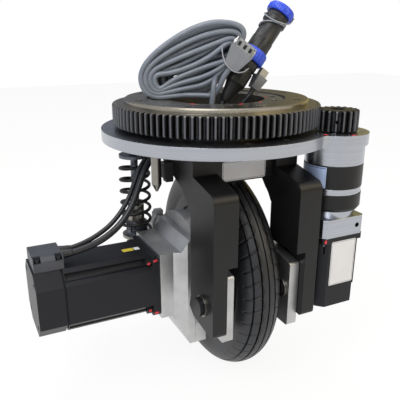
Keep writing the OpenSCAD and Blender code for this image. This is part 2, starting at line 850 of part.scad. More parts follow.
module pivot_bushes() {
  color("#a8854a") for (s = [-1, 1]) side(s) difference() {
    bar_y(pivot_x, axle_z, bush_r - 0.02, -arm_out, -arm_in);
    bar_y(pivot_x, axle_z, pivot_d / 2 + fit_gap, -arm_out - spare, -arm_in + spare);
  }
}

// Drive gearbox: square at the motor, sloping out to its mounting flange on the left arm
box_in = -arm_in - hub_t;
box_out = box_in - box_l;
box_top = axle_z + box_w / 2;
box_low = axle_z - box_w / 2;
slope_top = 16;
flange_t = 8;
box_bore_r = axle_d / 2 + 2;
module gearbox() {
  color(alloy) difference() {
    intersection() {
      // Seen along X: the slopes above and below
      rotate([90, 0, 90]) translate([0, 0, -box_flange_w]) linear_extrude(2 * box_flange_w)
        polygon([[box_out, box_top], [box_in - flange_t - 9, box_top],
          [box_in - flange_t, box_top + slope_top], [box_in, box_top + slope_top],
          [box_in, axle_z - flange_drop], [box_in - flange_t, axle_z - flange_drop],
          [box_in - flange_t - 21, box_low], [box_out, box_low]]);
      // Seen from above: wider at the flange
      translate([0, 0, axle_z - 2 * box_w]) linear_extrude(4 * box_w)
        polygon([[-box_w / 2, box_out], [box_w / 2, box_out], [box_w / 2, box_in - flange_t - 18],
          [box_flange_w / 2, box_in - flange_t - 2], [box_flange_w / 2, box_in], [-box_flange_w / 2, box_in],
          [-box_flange_w / 2, box_in - flange_t - 2], [-box_w / 2, box_in - flange_t - 18]]);
    }
    bar_y(0, axle_z, box_bore_r, box_in - 14, box_in + spare);
    box_screw_places() bar_y(0, 0, m6[0] + screw_play, box_in - box_grip - 2, box_in + spare);
    motor_screw_places() bar_y(0, 0, m6[0] + screw_play, box_out - spare, box_out + 14);
  }
}

module gearbox_screws() {
  color(dark_steel) box_screw_places() translate([0, -arm_in - box_head, 0])
    rotate([-90, 0, 0]) socket_screw(m6, hub_t - box_head + box_grip);
}

// Drive motor: body with grooved corners, end cover and cable cap
head_room = 0.4;
motor_chamfer = 16;
motor_in = box_out;
cover_in = motor_in - motor_l;
motor_end = cover_in - cover_l;
motor_bolt_x = motor_w / 2 - 7.5;
motor_flange_t = 9;
module motor_screw_places() {
  for (x = [-1, 1])
    for (z = [-1, 1])
      translate([x * motor_bolt_x, 0, axle_z + z * motor_bolt_x]) children();
}

module motor_section() {
  difference() {
    translate([0, axle_z]) cut_square(motor_w, motor_chamfer);
    // Grooves along the four cut corners, which leave room for the screw heads
    for (x = [-1, 1])
      for (z = [-1, 1])
        translate([x * motor_bolt_x, axle_z + z * motor_bolt_x]) circle(r = m6[1] + head_room);
  }
}

module drive_motor() {
  color(black) difference() {
    union() {
      slab_y(cover_in, motor_in - motor_flange_t + 0.01) motor_section();
      slab_y(motor_in - motor_flange_t, motor_in) translate([0, axle_z]) cut_square(motor_w, 3);
    }
    motor_screw_places() bar_y(0, 0, m6[0] + screw_play, cover_in, motor_in + spare);
  }
}

cover_cut = motor_chamfer;
cover_screw = motor_w / 2 - 13;
cover_round = 2;
module motor_cover() {
  color(black) difference() {
    slab_y(motor_end, cover_in) translate([0, axle_z]) cut_square(motor_w, cover_cut);
    slab_y(cover_in - 3, cover_in - 1) difference() {
      translate([0, axle_z]) square(motor_w + 2, center = true);
      translate([0, axle_z]) cut_square(motor_w - 2 * cover_round, cover_cut);
    }
    for (x = [-1, 1])
      for (z = [-1, 1])
        bar_y(x * cover_screw, axle_z + z * cover_screw, 3.5, motor_end - spare, motor_end + 2);
  }
}

cap_low = axle_z + motor_w / 2;
cap_h = 17;
cap_w = 46;
cap_in = cover_in + 2;
cap_out = motor_end + 2;
cable_z = cap_low + 12;
power_x = 8;
encoder_x = -6;
cap_screw_in = 5;
cap_pocket = 6;
cap_edge = 4;
cap_screw_l = cap_h - cap_pocket - 1;
module cap_screw_places() {
  for (y = [cap_out + cap_screw_in, cap_in - cap_screw_in])
    translate([cap_w / 2 - cap_screw_in, y, cap_low + cap_h - cap_pocket]) children();
}

module cable_cap() {
  color("#4a4d55") difference() {
    slab_y(cap_out, cap_in)
      polygon([[-cap_w / 2, cap_low], [cap_w / 2, cap_low], [cap_w / 2, cap_low + cap_h - cap_edge],
        [cap_w / 2 - cap_edge, cap_low + cap_h], [cap_edge - cap_w / 2, cap_low + cap_h],
        [-cap_w / 2, cap_low + cap_h - cap_edge]]);
    // Screw pockets in the front corners
    cap_screw_places() translate([-4, -4, 0]) cube([20, 8, 20]);
    cap_screw_places() translate([0, 0, -cap_screw_l - 0.5])
      cylinder(r = m4[0] + screw_play, h = cap_screw_l + 1, $fn = 24);
  }
}

module cap_screws() {
  color(dark_steel) cap_screw_places() socket_screw(m4, cap_screw_l);
}

module motor_screws() {
  color(dark_steel) motor_screw_places() translate([0, motor_in - motor_flange_t, 0])
    rotate([90, 0, 0]) socket_screw([m6[0], m6[1], 7], motor_flange_t + 10);
}

// Lug and stud that carry the foot of the shock absorber
module shock_lug() {
  color(alloy) difference() {
    slab_y(lug_screw_y - lug_out, lug_screw_y)
      polygon([[lug_front, lug_low], [lug_front, lug_high], [lug_front - 10, lug_high],
        [lug_rear, foot_eye_z + 20], [lug_rear, lug_low + 6], [lug_rear + 6, lug_low]]);
    lug_screw_holes(hub_t);
    // Round pocket that clears the spring and its lower seat
    translate([shock_x, shock_y, seat_low_z - seat_t - 2])
      cylinder(r = spring_d / 2 + 2.5, h = lug_high - seat_low_z + 10);
    bar_y(shock_x, foot_eye_z, eye_pin_r + 2, lug_screw_y - lug_out - spare, lug_screw_y + spare);
  }
}

module shock_stud() {
  color(steel) {
    bar_y(shock_x, foot_eye_z, eye_pin_r + 2, shock_y - eye_w / 2 - 6, lug_screw_y);
    bar_y(shock_x, foot_eye_z, eye_r, shock_y + eye_w / 2 + 0.4, lug_screw_y - lug_out);
    bar_y(shock_x, foot_eye_z, eye_r, shock_y - eye_w / 2 - 6, shock_y - eye_w / 2 - 0.4);
    for (p = lug_screws) {
      bar_y(p[0], p[1], m6[0], lug_seat - 0.01, lug_screw_y + hub_t - 4);
      bar_y(p[0], p[1], m6[1], lug_seat - m6[2], lug_seat);
    }
  }
}

// Axle bearings, each a ring with a shield groove
module bearing(out_r, in_r, y0, y1) {
  mid_r = (out_r + in_r) / 2;
  wheel_turn() difference() {
    translate([in_r, y0]) square([out_r - in_r, y1 - y0]);
    for (y = [y0 - spare, y1 - 1])
      translate([mid_r - 4, y]) square([8, 1 + spare]);
  }
}

bearing_inset = 0.5;
module left_bearing() {
  color(steel)
    bearing(left_bearing_r - 0.02, axle_d / 2 + fit_gap, box_in + bearing_inset, -arm_in - bearing_inset);
}

module right_bearing() {
  color(steel) bearing(right_bearing_r - 0.02, stub_d / 2 + fit_gap, arm_in - boss_t + bearing_inset,
    arm_in + hub_t - bearing_inset);
}

// Wheel: rubber tyre on a dished rim, bolted to the axle's flange
tyre_r = tyre_d / 2;
tyre_round = tyre_w / 2;
rim_r = tyre_r - tyre_h;
tread_step = 8.5;
tread_w = 1.8;
tread_deep = 2.5;
rim_half = tyre_w / 2 - 4;
module tyre() {
  color(rubber) wheel_turn() difference() {
    union() {
      translate([tyre_r - tyre_round, 0]) circle(r = tyre_round);
      translate([rim_r, -rim_half]) square([tyre_r - tyre_round - rim_r, 2 * rim_half]);
    }
    translate([0, -tyre_w]) square([rim_r, 2 * tyre_w]);
    // Grooves round the tread
    for (k = [-2 : 2])
      let (deep = tyre_r - tyre_round + sqrt(tyre_round * tyre_round - k * k * tread_step * tread_step))
        translate([deep - tread_deep, k * tread_step - tread_w / 2]) square([tread_deep + 3, tread_w]);
  }
}

hub_r = axle_d / 2 + 28;
flange_in = -tyre_w / 2 + 4;
axle_flange_t = 8;
bolt_r = hub_r - 10;
bolt_count = 6;
web_t = 10;
rim_t = 6;
bead_h = 5;
hub_bore_r = axle_d / 2 + 3;
hub_end = 20;
hub_wall = 7;
module bolt_places() {
  for (i = [0 : bolt_count - 1])
    translate([0, 0, axle_z]) rotate([0, i * 360 / bolt_count, 0]) translate([bolt_r, 0, 0]) children();
}

module rim() {
  color(steel) difference() {
    wheel_turn() union() {
      translate([rim_r - rim_t, -rim_half]) square([rim_t, 2 * rim_half]);
      translate([rim_r - rim_t, -rim_half - 3]) square([rim_t + bead_h, 3]);
      translate([rim_r - rim_t, rim_half]) square([rim_t + bead_h, 3]);
      translate([hub_bore_r + fit_gap, flange_in]) square([rim_r - rim_t - hub_bore_r, web_t]);
      translate([hub_bore_r + fit_gap, flange_in]) square([hub_wall, hub_end - flange_in]);
    }
    bolt_places() bar_y(0, 0, m8[0] + screw_play, flange_in - spare, flange_in + web_t + spare);
  }
}

axle_end = arm_in + hub_t + 8;
module axle() {
  color(steel) difference() {
    wheel_turn() polygon([[0, box_in - 10], [axle_d / 2, box_in - 10],
      [axle_d / 2, flange_in - axle_flange_t], [hub_r, flange_in - axle_flange_t],
      [hub_r, flange_in], [hub_bore_r, flange_in], [hub_bore_r, hub_end],
      [stub_d / 2 + 4, hub_end], [stub_d / 2 + 4, arm_in - boss_t + bearing_inset - 0.3],
      [stub_d / 2, arm_in - boss_t + bearing_inset - 0.3], [stub_d / 2, axle_end], [0, axle_end]]);
    bolt_places() bar_y(0, 0, m8[0] + screw_play, flange_in - axle_flange_t - spare, flange_in + spare);
  }
}

module wheel_bolts() {
  color(dark_steel) bolt_places() translate([0, flange_in + web_t, 0])
    rotate([-90, 0, 0]) socket_screw(m8, web_t + axle_flange_t);
}

module axle_nut() {
  color(steel) difference() {
    union() {
      bar_y(0, axle_z, stub_d / 2 + 7, arm_in + hub_t + 0.3 - bearing_inset, arm_in + hub_t + 2.3);
      translate([0, arm_in + hub_t + 2.3, axle_z]) rotate([-90, 0, 0])
        cylinder(r = stub_d / 2 + 6, h = 6, $fn = 6);
    }
    bar_y(0, axle_z, stub_d / 2 + 0.02, arm_in, axle_end + spare);
  }
}

// Cables: round tubes swept along hand-chosen points
plug_foot = [14, 3, -5];
plug_lean = -35.4;
plug_axis = [0, sin(-plug_lean), cos(plug_lean)];
encoder_foot = [22, 40, 9];
straight = 10;
power_route = [[power_x, cap_in, cable_z], [8, -192, -170], [6, -176, -168], [4, -158, -163.5],
  [1, -140, -155], [-2, -125, -143], [-6, -112, -127], [-10, -102, -108], [-13, -93, -90], [-16, -82, -75],
  [-20, -68, -65], [-24, -54, -62], [-25, -44, -60], [-22, -37, -57], [-16, -30, -50], [-8, -24, -42],
  [0, -18, -34], [7, -13, -26], [12, -8, -20], plug_foot - straight * plug_axis, plug_foot];
encoder_route = [[encoder_x, cap_in, cable_z], [-6, -192, -170], [-8, -176, -167.5], [-10, -158, -161.5],
  [-13, -140, -152], [-16, -125, -139], [-19, -112, -122], [-22, -102, -102], [-25, -92, -84],
  [-28, -78, -70], [-32, -62, -64], [-35, -46, -62], [-34, -32, -60], [-28, -20, -54], [-18, -11, -46],
  [-8, -2, -37], [3, 8, -27], [12, 18, -18], [18, 26, -10], encoder_foot - straight * plug_axis, encoder_foot];
control_route = [[clamp_front - 6, clamp_hole_y, clamp_z], [-43, clamp_hole_y, clamp_z], [-33, 7, -56],
  [-22, 1, -54], [-10, -6, -52], [2, -11, -49], [12, -15, -43], [18, -17, -33], [21, -18, -20],
  [21.5, -18, -6], [21.5, -18, 8], [21, -17, 20], [17, -12, 34]];
tube_sides = 10;

function unit(v) = v / norm(v);
function tangent(p, i) = unit(p[min(i + 1, len(p) - 1)] - p[max(i - 1, 0)]);
function ring_at(p, i, r) =
  let (t = tangent(p, i), a = unit(cross(t, [1, 0.02, 0.03])), b = cross(t, a))
  [for (k = [0 : tube_sides - 1]) p[i] + r * (a * cos(360 * k / tube_sides) + b * sin(360 * k / tube_sides))];

module tube(route, d) {
  n = len(route);
  s = tube_sides;
  points = [for (i = [0 : n - 1]) each ring_at(route, i, d / 2)];
  walls = [for (i = [0 : n - 2]) for (k = [0 : s - 1])
    [i * s + k, (i + 1) * s + k, (i + 1) * s + (k + 1) % s, i * s + (k + 1) % s]];
  first = [[for (k = [0 : s - 1]) k]];
  last = [[for (k = [s - 1 : -1 : 0]) (n - 1) * s + k]];
  polyhedron(points, concat(first, walls, last));
}

module power_cable() {
  color(black) tube(power_route, power_d);
}

module encoder_cable() {
  color(black) tube(encoder_route, encoder_d);
}

module control_lead() {
  color(grey) tube(control_route, control_d);
}

// Outline round circles given as X, Y and radius, listed anticlockwise
function outer_turn(a, b) =
  let (d = [b[0] - a[0], b[1] - a[1]]) atan2(d[1], d[0]) - acos((a[2] - b[2]) / norm(d));
module round_outline(circles) {
  n = len(circles);
  for (c = circles)
    translate([c[0], c[1]]) circle(r = c[2]);
  polygon([for (i = [0 : n - 1])
    let (a = circles[i], b = circles[(i + 1) % n], t = outer_turn(a, b))
    each [[a[0], a[1]] + polar(a[2], t), [b[0], b[1]] + polar(b[2], t)]]);
}

// Hank of control cable, standing on the inner ring with its flat side to the front
hank_turn = 64;
hank_place = [-6, -14, inner_top + 0.2];
hank_t = 45;
hank_circles = [[-53, 26, 26], [-10, 29, 29], [36, 75, 15], [8, 61, 31]];
module at_hank() {
  translate(hank_place) rotate(hank_turn) children();
}

module cable_hank() {
  color(grey) at_hank() slab_y(-hank_t / 2, hank_t / 2) round_outline(hank_circles);
}

// Connectors that stand out of the bore, leaning over together
module leaning(p) {
  translate(p) rotate([plug_lean, 0, 0]) children();
}

plug_r = 13;
plug_h = 58;
collar_r = 15.5;
collar_h = 15;
socket_r = 14.5;
socket_h = 46;
lid_r = 16.5;
lid_h = 16;
module power_plug() {
  leaning(plug_foot) {
    color(black) rotate_extrude()
      polygon([[0, 0], [power_d / 2 + 2, 0], [plug_r - 2, 14], [plug_r, 20], [plug_r, plug_h], [0, plug_h]]);
    color(blue) translate([0, 0, plug_h - 0.01]) rotate_extrude()
      polygon([[0, 0], [collar_r - 1, 0], [collar_r, 2], [collar_r, collar_h], [0, collar_h]]);
    color(black) translate([0, 0, plug_h + collar_h - 0.02]) cylinder(r = socket_r, h = socket_h);
    color(blue) translate([0, 0, plug_h + collar_h + socket_h - 0.03]) rotate_extrude()
      polygon([[0, 0], [lid_r, 0], [lid_r, lid_h - 3], [lid_r - 2, lid_h], [0, lid_h]]);
  }
}

// Hood of a small shielded connector with its metal shell
shell_h = 6;
shell_in = 3;
module shielded_hood(w, t, h) {
  translate([-w / 2, -t / 2, 0]) cube([w, t, h]);
  translate([-w / 2 + shell_in, -t / 2 + shell_in, h - 0.01])
    cube([w - 2 * shell_in, t - 2 * shell_in, shell_h]);
}

module encoder_plug() {
  color(grey) leaning(encoder_foot) shielded_hood(15, 15, 22);
}

control_hood = [30, 15, 30];
control_foot = [30, -hank_t / 2 - control_hood[1] / 2, 37];
module control_plug() {
  color(grey) at_hank() translate(control_foot) rotate([0, -plug_lean, 0])
    shielded_hood(control_hood[0], control_hood[1], control_hood[2]);
}

gear_ring();
inner_ring();
bearing_balls();
ring_seal();
ring_screws();
steering_plate();
plate_screws();
fork_left();
fork_right();
fork_bridge();
fork_screws();
pivot_pins();
pivot_rings();
stop_pin();
limit_sensor();
steer_head();
steer_upper_band();
steer_mid_ring();
steer_lower_band();
steer_adapter();
steer_motor();
steer_motor_base();
steer_sockets();
steer_screws();
cable_clamp();
shock_bracket();
shock_top_pin();
pinion();
pinion_shaft();
pinion_set_screw();
arm_left();
arm_right();
pivot_bushes();
gearbox();
gearbox_screws();
drive_motor();
motor_cover();
cable_cap();
cap_screws();
motor_screws();
shock_lug();
shock_stud();
left_bearing();
right_bearing();
tyre();
rim();
axle();
wheel_bolts();
axle_nut();
shock_rod();
shock_spring();
shock_tube();
preload_nut();
power_cable();
encoder_cable();
control_lead();
cable_hank();
power_plug();
encoder_plug();
control_plug();
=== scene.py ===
# %% [markdown]
# # Dressing a steered drive wheel
# The CAD model already has every solid in its place. Here it gets its looks: a camera at the
# photograph's angle, the cables, the connectors, the stickers, and a finish for each surface.

# %% Load the model
import math
import bpy
from mathutils import Matrix, Vector


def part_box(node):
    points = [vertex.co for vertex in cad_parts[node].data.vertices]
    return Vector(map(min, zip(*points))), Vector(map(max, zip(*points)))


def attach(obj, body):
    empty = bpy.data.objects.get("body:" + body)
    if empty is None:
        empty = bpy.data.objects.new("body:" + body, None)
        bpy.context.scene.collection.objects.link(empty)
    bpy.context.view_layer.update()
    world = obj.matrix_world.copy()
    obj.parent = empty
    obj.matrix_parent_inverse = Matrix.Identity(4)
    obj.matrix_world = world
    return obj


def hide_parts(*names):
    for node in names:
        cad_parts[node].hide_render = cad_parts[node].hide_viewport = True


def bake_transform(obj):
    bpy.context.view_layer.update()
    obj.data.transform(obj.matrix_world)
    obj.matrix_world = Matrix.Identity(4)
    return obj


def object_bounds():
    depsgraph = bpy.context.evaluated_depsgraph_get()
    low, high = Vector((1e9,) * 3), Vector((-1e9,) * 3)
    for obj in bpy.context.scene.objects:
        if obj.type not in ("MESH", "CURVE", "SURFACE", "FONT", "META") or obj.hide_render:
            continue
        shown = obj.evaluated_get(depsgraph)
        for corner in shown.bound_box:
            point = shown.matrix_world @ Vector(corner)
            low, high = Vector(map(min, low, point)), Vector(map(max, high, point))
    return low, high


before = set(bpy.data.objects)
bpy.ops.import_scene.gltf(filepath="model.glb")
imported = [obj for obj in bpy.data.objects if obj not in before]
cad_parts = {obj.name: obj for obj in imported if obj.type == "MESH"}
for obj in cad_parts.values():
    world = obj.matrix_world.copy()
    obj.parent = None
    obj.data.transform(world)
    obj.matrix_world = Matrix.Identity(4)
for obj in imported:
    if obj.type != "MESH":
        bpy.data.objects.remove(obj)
cad_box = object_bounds()
bpy.context.scene.tool_settings.mesh_select_mode = (False, False, True)

# %% [markdown]
# ## Camera
# The photograph looks a little down on the unit, from the corner between its rolling direction
# and the drive motor. The place and lens were worked out from the round plate, whose ellipse gives
# the tilt, and from the upright edges. Moving the lens up a little (shift) frames it without
# tilting it any more.

# %% Camera at the photograph's angle
lens = bpy.data.cameras.new("camera")
lens.sensor_width = 36
lens.lens = 46.38
lens.shift_y = 0.0172
camera = bpy.data.objects.new("camera", lens)
camera.location = (0.5743, -0.3009, 0.0757)
camera.rotation_euler = (math.radians(71.21), 0, math.radians(64.08))
bpy.context.collection.objects.link(camera)
bpy.context.scene.camera = camera
print("camera stands", round(camera.location.length, 3), "m from the ring's centre")

# %% [markdown]
# ## Cables
# Two black cables leave the motor's cap, sag across to the plate and go up through its bore. They
# cross the suspension joint. A curve object is the usual way to draw a cable, and each curve is
# then made a mesh. The two follow the points of their CAD solids, with a smooth line through them.

# %% A smooth line through points, and a round cable along it
def smooth_line(points, steps):
    """Points of a curve that passes through the given ones, with steps between each two."""
    ends = [points[0] * 2 - points[1]] + points + [points[-1] * 2 - points[-2]]
    line = []
    for a, b, c, d in zip(ends, ends[1:], ends[2:], ends[3:]):
        for k in range(steps):
            t = k / steps
            line.append(0.5 * (2 * b + (c - a) * t + (2 * a - 5 * b + 4 * c - d) * t * t
                               + (3 * b - a - 3 * c + d) * t ** 3))
    return line + [points[-1]]


def cable_along(name, line, diameter, sides=3):
    """A round cable along a line of points: a curve with a thickness, made a mesh."""
    curve = bpy.data.curves.new(name, "CURVE")
    curve.dimensions = "3D"
    spline = curve.splines.new("POLY")
    spline.points.add(len(line) - 1)
    for knot, place in zip(spline.points, line):
        knot.co = (*place, 1)
    spline.use_smooth = True
    curve.bevel_depth = diameter / 2
    curve.bevel_resolution = sides
    curve.use_fill_caps = True
    cable = bpy.data.objects.new(name, curve)
    bpy.context.collection.objects.link(cable)
    bpy.ops.object.select_all(action="DESELECT")
    cable.select_set(True)
    bpy.context.view_layer.objects.active = cable
    bpy.ops.object.convert(target="MESH")
    bpy.ops.object.shade_smooth()
    return cable


def length_of(line):
    return sum((b - a).length for a, b in zip(line, line[1:]))


MM = 0.001
LEAN = math.radians(35.4)
plug_foot = Vector((14, 3, -5)) * MM
encoder_foot = Vector((22, 40, 9)) * MM
plug_axis = Vector((0, math.sin(LEAN), math.cos(LEAN)))

# %% The drive motor's two black cables
power_points = [
    (8, -206, -170), (8, -192, -170), (6, -176, -168), (4, -158, -163.5), (1, -140, -155),
    (-2, -125, -143), (-6, -112, -127), (-10, -102, -108), (-13, -93, -90), (-16, -82, -75),
    (-20, -68, -65), (-24, -54, -62), (-25, -44, -60), (-22, -37, -57), (-16, -30, -50),
    (-8, -24, -42), (0, -18, -34), (7, -13, -26), (12, -8, -20)]
encoder_points = [
    (-6, -206, -170), (-6, -192, -170), (-8, -176, -167.5), (-10, -158, -161.5), (-13, -140, -152),
    (-16, -125, -139), (-19, -112, -122), (-22, -102, -102), (-25, -92, -84), (-28, -78, -70),
    (-32, -62, -64), (-35, -46, -62), (-34, -32, -60), (-28, -20, -54), (-18, -11, -46),
    (-8, -2, -37), (3, 8, -27), (12, 18, -18), (18, 26, -10)]
for name, points, foot, diameter in (("power_lead", power_points, plug_foot, 0.008),
                                     ("encoder_lead", encoder_points, encoder_foot, 0.006)):
    knots = [Vector(p) * MM for p in points] + [foot - plug_axis * 10 * MM, foot]
    line = smooth_line(knots, 5)
    cable = cable_along(name, line, diameter, 4)
    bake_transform(cable)
    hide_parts(name.replace("lead", "cable"))
    print(name, "is", round(length_of(line), 3), "m long")

# %% [markdown]
# ## Coil spring
# The spring of the shock absorber gets shorter when the arm swings up, which a CAD solid can't do.
# It is wound again here: a round wire along a helix, of the solid's own size.

# %% Wire along a helix
TURNS, WIRE = 6.5, 4.4 * MM
STEPS_A_TURN = 24
low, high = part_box("shock_spring")
middle = (low + high) / 2
coil_radius = (high.x - low.x - WIRE) / 2
steps = round(TURNS * STEPS_A_TURN)
coil_line = []
for k in range(steps + 1):
    angle = 2 * math.pi * TURNS * k / steps
    level = low.z + WIRE / 2 + (high.z - low.z - WIRE) * k / steps
    coil_line.append(Vector((middle.x + coil_radius * math.cos(angle),
                             middle.y + coil_radius * math.sin(angle), level)))
coil_spring = cable_along("coil_spring", coil_line, WIRE, 3)
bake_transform(coil_spring)
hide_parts("shock_spring")
print("spring wire is", round(length_of(coil_line), 3), "m long")

# %% [markdown]
# ## The hank of grey cable
# The steering motor's cable is wound up and stands on the ring until the unit is fitted. Its turns
# are long loops, one inside the other: they meet in a tight fold at the lower left and fan out to
# the upper right, where the connector hides them. It could be drawn by hand, but each turn has to
# stay a cable's thickness from the next, so only the widest and the narrowest turn are drawn, with
# eight corners each. The others are shares between these two, in layers one behind the other, and
# cutting the corners off makes the round line.

# %% The widest and the narrowest turn
HANK_PLACE = Vector((-6, -14, -1.8))
to_hank = Matrix.Translation(HANK_PLACE * MM) @ Matrix.Rotation(math.radians(64), 4, "Z")


def in_hank(along, across, height):
    """A place in the hank's own millimetres, as a place on the object."""
    return to_hank @ (Vector((along, across, height)) * MM)


WIDEST = [(54, 82), (12, 91), (-38, 71), (-79, 34), (-69, 1), (-30, 4.5), (8, 6), (29, 44)]
NARROWEST = [(33, 70), (5, 47.5), (-36, 31), (-61, 29.5), (-55, 8.5), (-36, 24), (8, 40.5), (38, 48)]
FRONT, LAYER = -16.5, 6.6
FURTHER_IN, HIGHER, SWAY = 4.5, 3.5, 1.2
# Each layer, counted from the front, and the shares of its turns
wound = [(1, (0.83, 0.5, 0.17)), (3, (0.17, 0.5, 0.83)), (5, (0.83, 0.5, 0.17)),
         (4, (0, 0.33, 0.67, 1)), (2, (1, 0.67, 0.33, 0)), (0, (0, 0.33, 0.67, 1))]
turns = [(layer, share) for layer, shares in wound for share in shares]
print(len(turns), "turns in", len(wound), "layers")


# %% The turns, one after the other
def corner_of(number, corner):
    """One of the eight corners of a turn.

    The inner turns of each layer lie further in and higher than those in front, so that nothing
    shows through their middle, and runs that are held at both ends only sway a little.
    """
    layer, share = turns[number]
    along = NARROWEST[corner][0] * (1 - share) + WIDEST[corner][0] * share
    height = NARROWEST[corner][1] * (1 - share) + WIDEST[corner][1] * share
    behind = layer * (1 - share) ** 2
    if corner in (2, 3, 4, 5):
        along += FURTHER_IN * behind
    if corner in (0, 1, 6, 7):
        height += HIGHER * behind
    sway = math.sin(1.7 * number + corner) if corner in (1, 2, 6) else 0
    return Vector((along, FRONT + LAYER * layer + SWAY * sway, height + sway))


def rounded_line(corners, steps):
    """A smooth line that touches the middle of each stretch between two corners."""
    line = []
    for a, b, c in zip(corners, corners[1:], corners[2:]):
        for k in range(steps):
            t = k / steps
            line.append((a + b) / 2 * (1 - t) ** 2 + b * 2 * t * (1 - t) + (b + c) / 2 * t * t)
    return line


corners = [Vector((12, -9.9, 26)), corner_of(0, 7)]
for number in range(len(turns)):
    corners += [corner_of(number, corner) for corner in range(7)]
    if number + 1 < len(turns):
        corners.append((corner_of(number, 7) + corner_of(number + 1, 7)) / 2)
hank_line = [in_hank(*place) for place in rounded_line(corners, 4)]
print("hank holds", round(length_of(hank_line), 2), "m of cable")

# %% One cable from the clamp through the hank to its connector
HOOD_FOOT = (30, -30, 37)
control_points = [
    (-53, 10, -56.5), (-43, 10, -56.5), (-33, 7, -56), (-22, 1, -54), (-10, -6, -52), (2, -11, -49),
    (12, -15, -43), (18, -17, -33), (21.3, -17.6, -20), (22.2, -16.8, -6)]
rise = [in_hank(*p) for p in ((11, -26.6, 6), (11.6, -26.4, 13), (12.6, -24.4, 20), (14, -18.5, 25.5),
                              (16.8, -12.5, 30))]
to_hood = [in_hank(*p) for p in ((0, -19, 5), (8, -20.4, 5), (14, -23.4, 8), (18, -27.2, 14),
                                 (21, -29.6, 22), (24.6, -30, 29.2), HOOD_FOOT)]
knots = [Vector(p) * MM for p in control_points] + rise + hank_line + to_hood
control_line = smooth_line(knots, 2)
CONTROL_D = 0.0065
control_cable = cable_along("control_cable", control_line, CONTROL_D, 3)
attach(control_cable, "carriage")
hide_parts("control_lead", "cable_hank")
print("control cable is", round(length_of(control_line), 3), "m long")

# %% [markdown]
# ## Shaping by hand
# New pieces start from a primitive and are shaped in edit mode. A turned piece starts as a disc
# whose face is pulled up and resized again and again, as on a lathe. A modifier (Screw) would do
# the same from a profile, but pulling the face up keeps every ring of faces at hand for ribs.

# %% Helpers for shaping
def fresh_start():
    """Object mode, with nothing selected."""
    if bpy.context.mode != "OBJECT":
        bpy.ops.object.mode_set(mode="OBJECT")
    bpy.ops.object.select_all(action="DESELECT")


def begin(piece):
    fresh_start()
    piece.select_set(True)
    bpy.context.view_layer.objects.active = piece


def pick_faces(piece, wanted):
    """Select the faces that wanted() is true for, and go to edit mode."""
    if bpy.context.mode != "OBJECT":
        bpy.ops.object.mode_set(mode="OBJECT")
    for part in (*piece.data.vertices, *piece.data.edges):
        part.select = False
    for face in piece.data.polygons:
        face.select = bool(wanted(face.center, face.normal))
    bpy.ops.object.mode_set(mode="EDIT")


def turned(name, profile, sides):
    """A turned piece on the Z axis, from (radius, height) pairs in millimetres."""
    fresh_start()
    radius, height = profile[0]
    bpy.ops.mesh.primitive_circle_add(vertices=sides, radius=radius * MM, fill_type="NGON",
                                      location=(0, 0, height * MM))
    piece = bpy.context.object
    piece.name = name
    bpy.ops.object.transform_apply(location=True)
    bpy.ops.object.mode_set(mode="EDIT")
    bpy.ops.mesh.select_all(action="SELECT")
    for next_radius, next_height in profile[1:]:
        bpy.ops.mesh.extrude_region_move(
            TRANSFORM_OT_translate={"value": (0, 0, (next_height - height) * MM)})
        ratio = next_radius / radius
        bpy.ops.transform.resize(value=(ratio, ratio, 1), center_override=(0, 0, 0))
        radius, height = next_radius, next_height
    bpy.ops.mesh.select_all(action="SELECT")
    bpy.ops.mesh.normals_make_consistent(inside=False)
    bpy.ops.object.mode_set(mode="OBJECT")
    return piece


def finish_mesh(piece, place, edge=0.0, segments=2, smooth=35):
    """Round the sharp edges, put the piece in its place, and smooth its shallow angles."""
    begin(piece)
    if edge:
        rounding = piece.modifiers.new("edge", "BEVEL")
        rounding.width = edge * MM
        rounding.segments = segments
        rounding.limit_method = "ANGLE"
        rounding.angle_limit = math.radians(40)
        bpy.ops.object.modifier_apply(modifier="edge")
    piece.matrix_world = place
    bpy.ops.object.transform_apply(location=True, rotation=True, scale=True)
    if smooth:
        bpy.ops.object.shade_smooth_by_angle(angle=math.radians(smooth))
    return piece


def is_rib(centre, sides, period, wide):
    """Whether a side face of a turned piece is among the first wide faces of its period."""
    return round(math.degrees(math.atan2(centre.y, centre.x)) * sides / 360 - 0.5) % period < wide


def two_finishes(piece):
    """Room for a second finish, on faces that are picked later."""
    piece.data.materials.append(None)
    piece.data.materials.append(None)


def finish_picked(piece, number):
    """Give the picked faces the piece's finish of that number."""
    piece.active_material_index = number
    bpy.ops.object.material_slot_assign()


def copy_of(piece, name):
    twin = piece.copy()
    twin.data = piece.data.copy()
    twin.name = name
    bpy.context.collection.objects.link(twin)
    return twin


print("shaping helpers ready")

# %% [markdown]
# ## Power connector
# A round cable connector stands out of the bore: a black grip with a blue locking ring, plugged
# into a black socket that is closed by a blue lid. The ring and lid have finger ribs. They could be
# separate bars, but moulded ribs grow out of the wall, so every second side face is pulled out.

# %% Black grip, blue ring, black socket and blue lid
PLUG_SIDES = 48
FURTHER_LEAN = math.radians(1.6)
plug_place = Matrix.Translation(plug_foot) @ Matrix.Rotation(-LEAN - FURTHER_LEAN, 4, "X")
connector = []
